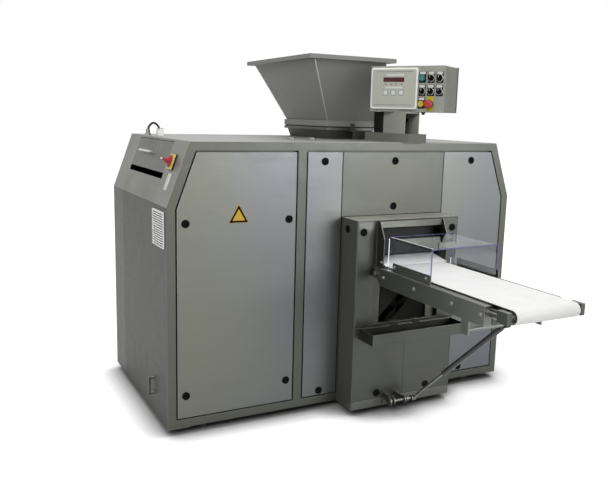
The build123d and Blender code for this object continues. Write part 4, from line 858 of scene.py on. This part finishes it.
# %% [markdown]
# ## Under and behind the console
# A black seal runs round the back edge of the box, and below it hang two cable glands, which all turn with
# the console. A black clamp knob sits inside the pedestal's channel and stays with the cabinet.

# %% Seal, glands and knob
seal = ring(368, 208.6, 5, 9)
lay_out(seal, [console_seat(0, 104.5, -178)], "console_seal", "console", "black_rubber")
gland = round_rim(disc(11, 5, 6), 0.8, 2)
edit_faces(gland, faces_up)
inset(2.5)
extrude(7)
bevel(2.5, 3)
close(gland)
gland_places = [console_seat(x, 0, out).translation for x, out in ((76, -25), (-18, -12))]
gland_seats = [seat(place, (1, 0, 0), (0, -1, 0)) for place in gland_places]
lay_out(gland, gland_seats, "console_glands", "console", "black_plastic")
pedestal_low, pedestal_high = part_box("console_pedestal")
clamp_knob = round_rim(disc(9, 13, 24), 3, 4)
clamp_seats = [left_seat(pedestal_high.x - 3 * mm, pedestal_low.y + 90 * mm, 1333 * mm)]
lay_out(clamp_knob, clamp_seats, "clamp_knob", "cabinet", "black_plastic")

# %% [markdown]
# ## Screws
# Button-head screws hold the conveyor's side plates, the guard, the cheeks and the back sheet. A screw is a
# disc for the washer, from whose top a smaller head is extruded and rounded, with a recess pressed into it.


# %% Screws on the conveyor, the cheeks and the rear
def screw(washer, head, height):
    """A washer with a rounded screw head on it."""
    blank = disc(washer, 1.4, 24)
    edit_faces(blank, faces_up)
    inset(washer - head)
    extrude(height)
    bevel(height * 0.7, 3)
    pick(blank, lambda middle, normal: normal.z > 0.99 and middle.z > height * mm)
    inset(head * 0.08)
    inset(head * 0.04, -height * 0.5)
    return close(blank)


def side_pairs(left, right, depths, height):
    """Seats on the two outer sides of the lane, in pairs along its depth."""
    pairs = []
    for depth in depths:
        pairs += [left_seat(left, depth * mm, height), right_seat(right, depth * mm, height)]
    return pairs


frame_low, frame_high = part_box("conveyor_frame")
guard_side = 175.3 * mm
cheek_side = 172 * mm
side_seats = side_pairs(frame_low.x, frame_high.x, (-239, -460, -699, -861), 660 * mm)
guard_seats = side_pairs(lane_x - guard_side, lane_x + guard_side, (-300, -520), 716 * mm)
cheek_seats = side_pairs(lane_x - cheek_side, lane_x + cheek_side, (-198,), 718 * mm)
rear_columns = (-840, -420, 12, 445, 865)
rear_rows = (70, 640, 935)
rear_seats = [rear_seat(x * mm, rear_y, z * mm) for x in rear_columns for z in rear_rows]
lay_out(screw(10, 7, 4.5), side_seats, "side_screws", "conveyor", "bright_steel")
lay_out(screw(8, 6, 4), guard_seats, "guard_screws", "conveyor", "bright_steel")
lay_out(screw(8, 6, 4), cheek_seats, "cheek_screws", "cabinet", "bright_steel")
lay_out(screw(9, 6, 3.5), rear_seats, "rear_screws", "cabinet", "bright_steel")

# %% [markdown]
# ## Edges of the guard
# The cut edges of clear sheet look violet, and thin violet strips stand on the front edges and on the top and
# the right wall at the rear. A pale strip on the left bend is a painted highlight for the light the bend
# catches.

# %% Strips on the edges
coated("cut edge violet", (96, 94, 146), (150, 150, 184), 0.25, dust=0.2)
guard_low, guard_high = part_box("belt_guard")
guard_sheet = 6
guard_size = (guard_high - guard_low) / mm
bend_middle = (guard_low.y + guard_high.y) / 2
leg_height = guard_size.z - 39
leg_z = guard_high.z - (guard_sheet + leg_height / 2) * mm
lintel = plate(guard_size.x - 6, guard_sheet - 1, 0.5, 1)
lintel = set_out(lintel, [front_seat(lane_x, guard_low.y, guard_high.z - guard_sheet / 2 * mm)])
leg_places = (guard_low.x + guard_sheet / 2 * mm, guard_high.x - guard_sheet / 2 * mm)
leg_seats = [front_seat(x, guard_low.y, leg_z) for x in leg_places]
legs = set_out(plate(guard_sheet - 1, leg_height, 0.5, 1), leg_seats)
hand_over(join([lintel, legs]), "guard_edges", "conveyor", "clear_guard", "cut edge violet")
# Painted highlight: a pale strip along the guard's left bend.
bend = plate(6, guard_size.y - 2, 0.4, 1)
bend_seats = [top_seat(guard_low.x + 8 * mm, bend_middle, guard_high.z)]
lay_out(bend, bend_seats, "guard_bend", "conveyor", "clear_guard", "filter white")
rear_edge_y = guard_high.y - 3.6 * mm
rear_lintel = plate(guard_size.x - 6, 7, 0.4, 1)
rear_lintel = set_out(rear_lintel, [top_seat(lane_x, rear_edge_y, guard_high.z)])
rear_leg = plate(7, leg_height, 0.4, 1)
rear_leg = set_out(rear_leg, [left_seat(guard_high.x - guard_sheet * mm, rear_edge_y, leg_z)])
rear_edges = join([rear_lintel, rear_leg])
hand_over(rear_edges, "guard_rear_edges", "conveyor", "clear_guard", "cut edge violet")

# %% [markdown]
# ## The air filter
# Cooling air enters the left end through a white plastic grille. It is a thin square frame with tilted slats
# across it. One slat is modelled and turned, and an Array modifier repeats it up the frame.

# %% Grille
grille_low, grille_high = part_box("filter_grille")
grille_middle = (grille_low + grille_high) / 2
grille_size = (grille_high.z - grille_low.z) / mm
grille_frame = round_rim(ring(grille_size, grille_size, 2.5, 5, 3), 0.8, 2)
slat_length = grille_size - 1
slat = plate(slat_length, 6.8, 2, 1.2)
edit(slat)
slat_middle = (0, (5 - slat_length / 2) * mm, 7 * mm)
bpy.ops.transform.translate(value=(0, slat_middle[1], 6 * mm))
bpy.ops.transform.rotate(value=radians(-24), orient_axis="X", center_override=slat_middle)
close(slat)
activate(slat)
repeat = slat.modifiers.new("up the frame", "ARRAY")
repeat.use_relative_offset = False
repeat.use_constant_offset = True
repeat.constant_offset_displace = (0, 10 * mm, 0)
repeat.count = 15
bpy.ops.object.modifier_apply(modifier=repeat.name)
grille_seats = [left_seat(grille_high.x, grille_middle.y, grille_middle.z)]
grille = set_out(join([grille_frame, slat]), grille_seats)
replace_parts(hand_over(grille, "slatted_grille", "cabinet", "white_plastic", "filter white"), "filter_grille")

# %% [markdown]
# ## Welds of the hopper
# The hopper is welded from four sheets, and the welds at its corners are ground to bright rounded beads. A
# bead is a thin disc drawn out to the length of the corner with rounded ends. It is set on the line between
# the two ends.

# %% Corner beads
bead_radius = 2.6
bead_foot = 1320
bead_head = 1606
beads = []
for low_x, high_x in ((68, -70.5), (343, 328.5)):
    for low_y, high_y in ((390, 280), (850, 975)):
        low = Vector((low_x, low_y, bead_foot)) * mm
        along = Vector((high_x, high_y, bead_head)) * mm - low
        bead = round_rim(disc(bead_radius, along.length / mm, 16), 1.5, 3)
        across = along.cross(Vector((0, 0, 1)))
        beads.append(set_out(bead, [seat(low, across, along.cross(across))]))
hand_over(join(beads), "hopper_welds", "hopper_unit", "hopper_steel", "ground weld")

# %% [markdown]
# ## The main switch
# The main switch has a black case behind its yellow plate and a red grip. The grip's hub is a disc that is
# inset and raised four times, which gives it a hollow flank, and a tapered fin with a white tip stands on it.
# A bare plate sits below. All of it lies on the slanted upper part of the left end.

# %% Switch case on the slanted sheet
slope = Vector((97, 0, 263)).normalized()
slope_foot = Vector((left_x, front_y, 967 * mm))
switch_place = (117, 184)


def slope_seat(depth, along, out):
    """A seat on the slanted left sheet, by the depth from the front and the way up the slope."""
    toward_front = Vector((0, -1, 0))
    normal = toward_front.cross(slope)
    place = slope_foot + Vector((0, depth * mm, 0)) + slope * along * mm + normal * out * mm
    return seat(place, toward_front, slope)


case = round_rim(ring(68.5, 68.5, 3, 6, 6), 0.5, 2)
lay_out(case, [slope_seat(*switch_place, 0)], "switch_case", "cabinet", "black_plastic")

# %% Switch grip and bare plate
hub = disc(26, 4, 48)
edit_faces(hub, faces_up)
for inward, lift in ((5, 3), (5.5, 4.5), (4, 6), (2.5, 7)):
    inset(inward, lift)
close(hub)
fin = plate(45, 11, 34, 4)
edit_faces(fin, faces_up)
bpy.ops.transform.resize(value=(0.72, 0.7, 1))
bevel(1.6, 3)
close(fin)
fin.location.z = 3.5 * mm
grip_seat = slope_seat(*switch_place, 12.3)
grip = set_out(join([hub, fin]), [grip_seat])
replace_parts(hand_over(grip, "switch_grip", "isolator_knob", "red_plastic", "switch red"), "isolator_handle")
tip = round_rim(plate(24, 5.5, 0.8, 1.5), 0.3, 2)
tip_seats = [grip_seat @ Matrix.Translation((0, 0, 37.5 * mm))]
lay_out(tip, tip_seats, "grip_tip", "isolator_knob", "white_plastic", "filter white")
strip = round_rim(plate(42, 72, 0.8, 3), 0.3, 2)
lay_out(strip, [slope_seat(97, 101, 0)], "bare_strip", "cabinet", "white_plastic", "key white")

# %% [markdown]
# ## Small pieces on the top and in the outlet
# The looped cable ends in a pale gland, and two plugs close holes in the top sheet. Behind the outlet window
# a pressed sheet closes the space under the chute, painted dark grey as painted shade for the dark behind
# the window. Above it a white slide carries the portions from the drum to the belt.

# %% Pale gland and plugs
pale_gland = round_rim(plate(28, 46, 24, 5), 1.5, 2)
edit_faces(pale_gland, faces_up)
inset(4)
extrude(10)
bevel(4, 4)
close(pale_gland)
gland_seats = [top_seat(left_x + 161.5 * mm, front_y + 645 * mm, top_z)]
lay_out(pale_gland, gland_seats, "pale_gland", "cabinet", "white_plastic", "filter white")
plug = round_rim(disc(19, 8), 5, 4)
plug_seats = [top_seat(-45 * mm, 340 * mm, top_z), top_seat(-150 * mm, 352 * mm, top_z)]
lay_out(plug, plug_seats, "hole_plugs", "cabinet", "bright_steel")

# %% Sheet and slide behind the window
# Painted shade: the inner sheet's dark grey stands in for the dark behind the window.
coated("inner grey", (46, 46, 44), (62, 61, 59), 0.7, shine=0.03)
inner_y = -104 * mm
inner_low = 340
inner_high = 686
inner_sheet = plate(350, inner_high - inner_low, 2, 6)
edit_faces(inner_sheet, faces_up)
inset(18)
inset(3, 3)
close(inner_sheet)
inner_seats = [front_seat(lane_x, inner_y, (inner_low + inner_high) / 2 * mm)]
lay_out(inner_sheet, inner_seats, "inner_sheet", "cabinet", "frame_steel", "inner grey")
slide = round_rim(plate(330, 118, 1.2), 0.4, 2)
slide_seats = [seat((lane_x, -167 * mm, 715 * mm), (1, 0, 0), (0, 80, 15.5))]
lay_out(slide, slide_seats, "white_slide", "cabinet", "white_plastic", "white belt")

# %% [markdown]
# ## The looped cable
# A stiff cable leaves the top sheet at a metal ferrule, stands up in a half round loop and goes back in
# through the pale gland. It is a curve rather than a mesh: five control points draw a smooth NURBS line, and
# a round bevel gives the line its thickness.

# %% Loop
cable_low, cable_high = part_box("loop_cable")
cable_radius = 5 * mm
loop_start = Vector((cable_low.x + cable_radius, cable_high.y - cable_radius, cable_low.z))
loop_end = Vector((cable_high.x - cable_radius, cable_low.y + cable_radius, cable_low.z))
loop_span = loop_end - loop_start
rise = Vector((0, 0, loop_span.length / 2))
loop_route = ((0.0, 0.0), (0.0, 0.577), (0.5, 1.155), (1.0, 0.577), (1.0, 0.0))
loop_curve = bpy.data.curves.new("loop_cord", "CURVE")
loop_curve.dimensions = "3D"
loop_curve.bevel_depth = cable_radius
loop_curve.bevel_resolution = 6
loop_curve.resolution_u = 16
loop_curve.use_fill_caps = True
line = loop_curve.splines.new("NURBS")
line.points.add(len(loop_route) - 1)
for point, (along, up) in zip(line.points, loop_route):
    point.co = (*(loop_start + loop_span * along + rise * up), 1.0)
line.order_u = 3
line.use_endpoint_u = True
loop_curve.materials.append(finish_of("black_rubber"))
loop_cord = bpy.data.objects.new("loop_cord", loop_curve)
bpy.context.scene.collection.objects.link(loop_cord)
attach(loop_cord, "cabinet")
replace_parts(loop_cord, "loop_cable")
print("loop_cord on cabinet, height", round(rise.z / mm, 1), "mm")

# %% Ferrule
ferrule = round_rim(disc(15.6, 7, 6), 0.8, 2)
edit_faces(ferrule, faces_up)
for inward, height in ((2.6, 4), (1.2, 17)):
    inset(inward)
    extrude(height)
bevel(1.6, 3)
close(ferrule)
ferrule_seats = [top_seat(loop_start.x, loop_start.y, top_z)]
lay_out(ferrule, ferrule_seats, "cable_ferrule", "cabinet", "bright_steel")

# %% [markdown]
# ## Stage and light
# The photograph is a cut-out on white. The floor is a large pale plane. Its material is partly plain diffuse,
# which keeps the machine's soft shadow, and partly white to the camera, to reflections and through glass, so
# that metal shows the same white that stands behind it. Close to the machine a painted contact shadow, found
# by ambient occlusion, makes its colour greyer and its white weaker, and the white also fades towards the
# machine. The sky is white in the same way. The lamps are large soft boxes: the main one stands at the front
# on the left, one hangs above, and a bright card at the front on the right is there for the metal alone,
# which mirrors it in the covers.


# %% White surroundings
def white_for_sight(tree):
    """A factor that is 1 for what is seen directly, in a reflection or through glass."""
    rays = add(tree, "ShaderNodeLightPath").outputs
    seen = calculate(tree, "MAXIMUM", rays["Is Camera Ray"], rays["Is Glossy Ray"])
    return calculate(tree, "MAXIMUM", seen, rays["Is Transmission Ray"])


white = (1.0, 1.0, 1.0, 1.0)
sky_light = 0.28
world = bpy.data.worlds.new("studio")
bpy.context.scene.world = world
world.use_nodes = True
sky = world.node_tree
soft_sky = add(sky, "ShaderNodeBackground", {"Color": white, "Strength": sky_light}).outputs[0]
white_sky = add(sky, "ShaderNodeBackground", {"Color": white, "Strength": 1.0}).outputs[0]
sky_mix = add(sky, "ShaderNodeMixShader", {0: white_for_sight(sky), 1: soft_sky, 2: white_sky})
sky.links.new(sky_mix.outputs[0], sky.nodes["World Output"].inputs["Surface"])
print("sky light", sky_light)

# %% Floor
floor_size = 40
shade_reach = 0.15
white_near = 0.62
bpy.ops.object.select_all(action="DESELECT")
bpy.ops.mesh.primitive_plane_add(size=floor_size)
floor = bpy.context.object
floor.name = "floor"
floor_paint = bpy.data.materials.new("floor paint")
floor_paint.use_nodes = True
floor_tree = floor_paint.node_tree
floor_tree.nodes.remove(floor_tree.nodes["Principled BSDF"])
open_floor = add(floor_tree, "ShaderNodeAmbientOcclusion", {"Distance": shade_reach}, samples=8).outputs["AO"]
# Painted contact shadow: near the machine the white weakens and the floor's colour turns grey.
white_outside_painted_shadow = remap(floor_tree, open_floor, 0.48, 0.98, 0.0, 1.0)
grey_with_painted_shadow = remap(floor_tree, open_floor, 0.3, 0.9, 0.26, 0.86)
shaded = add(floor_tree, "ShaderNodeBsdfDiffuse", {"Color": grey_with_painted_shadow}).outputs[0]
away = add(floor_tree, "ShaderNodeVectorMath", {0: object_place(floor_tree)}, operation="LENGTH")
whiteness = remap(floor_tree, away.outputs["Value"], 1.6, 5.0, white_near, 1.0)
lifted = calculate(floor_tree, "MULTIPLY", white_outside_painted_shadow, whiteness)
floor_white = calculate(floor_tree, "MULTIPLY", white_for_sight(floor_tree), lifted)
bright = add(floor_tree, "ShaderNodeEmission", {"Color": white, "Strength": floor_white}).outputs[0]
floor_mix = add(floor_tree, "ShaderNodeAddShader", {0: shaded, 1: bright})
floor_tree.links.new(floor_mix.outputs[0], floor_tree.nodes["Material Output"].inputs["Surface"])
floor.data.materials.append(floor_paint)
print("floor", floor_size, "m wide")


# %% Soft boxes
def soft_box(name, place, target, width, height, power):
    """A large rectangular lamp aimed at a point, hidden from the camera itself."""
    lamp_data = bpy.data.lights.new(name, "AREA")
    lamp_data.shape = "RECTANGLE"
    lamp_data.size = width
    lamp_data.size_y = height
    lamp_data.energy = power
    lamp = bpy.data.objects.new(name, lamp_data)
    aim = Vector(place) - Vector(target)
    lamp.matrix_world = aim.to_track_quat("Z", "Y").to_matrix().to_4x4()
    lamp.location = place
    lamp.visible_camera = False
    bpy.context.scene.collection.objects.link(lamp)
    return lamp


machine_middle = (0.1, -0.1, 0.8)
soft_box("main box", (-3.3, -3.3, 3.4), machine_middle, 2.4, 2.0, 140)
soft_box("top box", (0.2, 0.6, 4.6), machine_middle, 3.2, 3.2, 90)
card = soft_box("card", (2.55, -4.5, 2.1), (0.1, 0.0, 0.8), 2.6, 2.0, 205)
card.visible_diffuse = False
print("two soft boxes and a card")
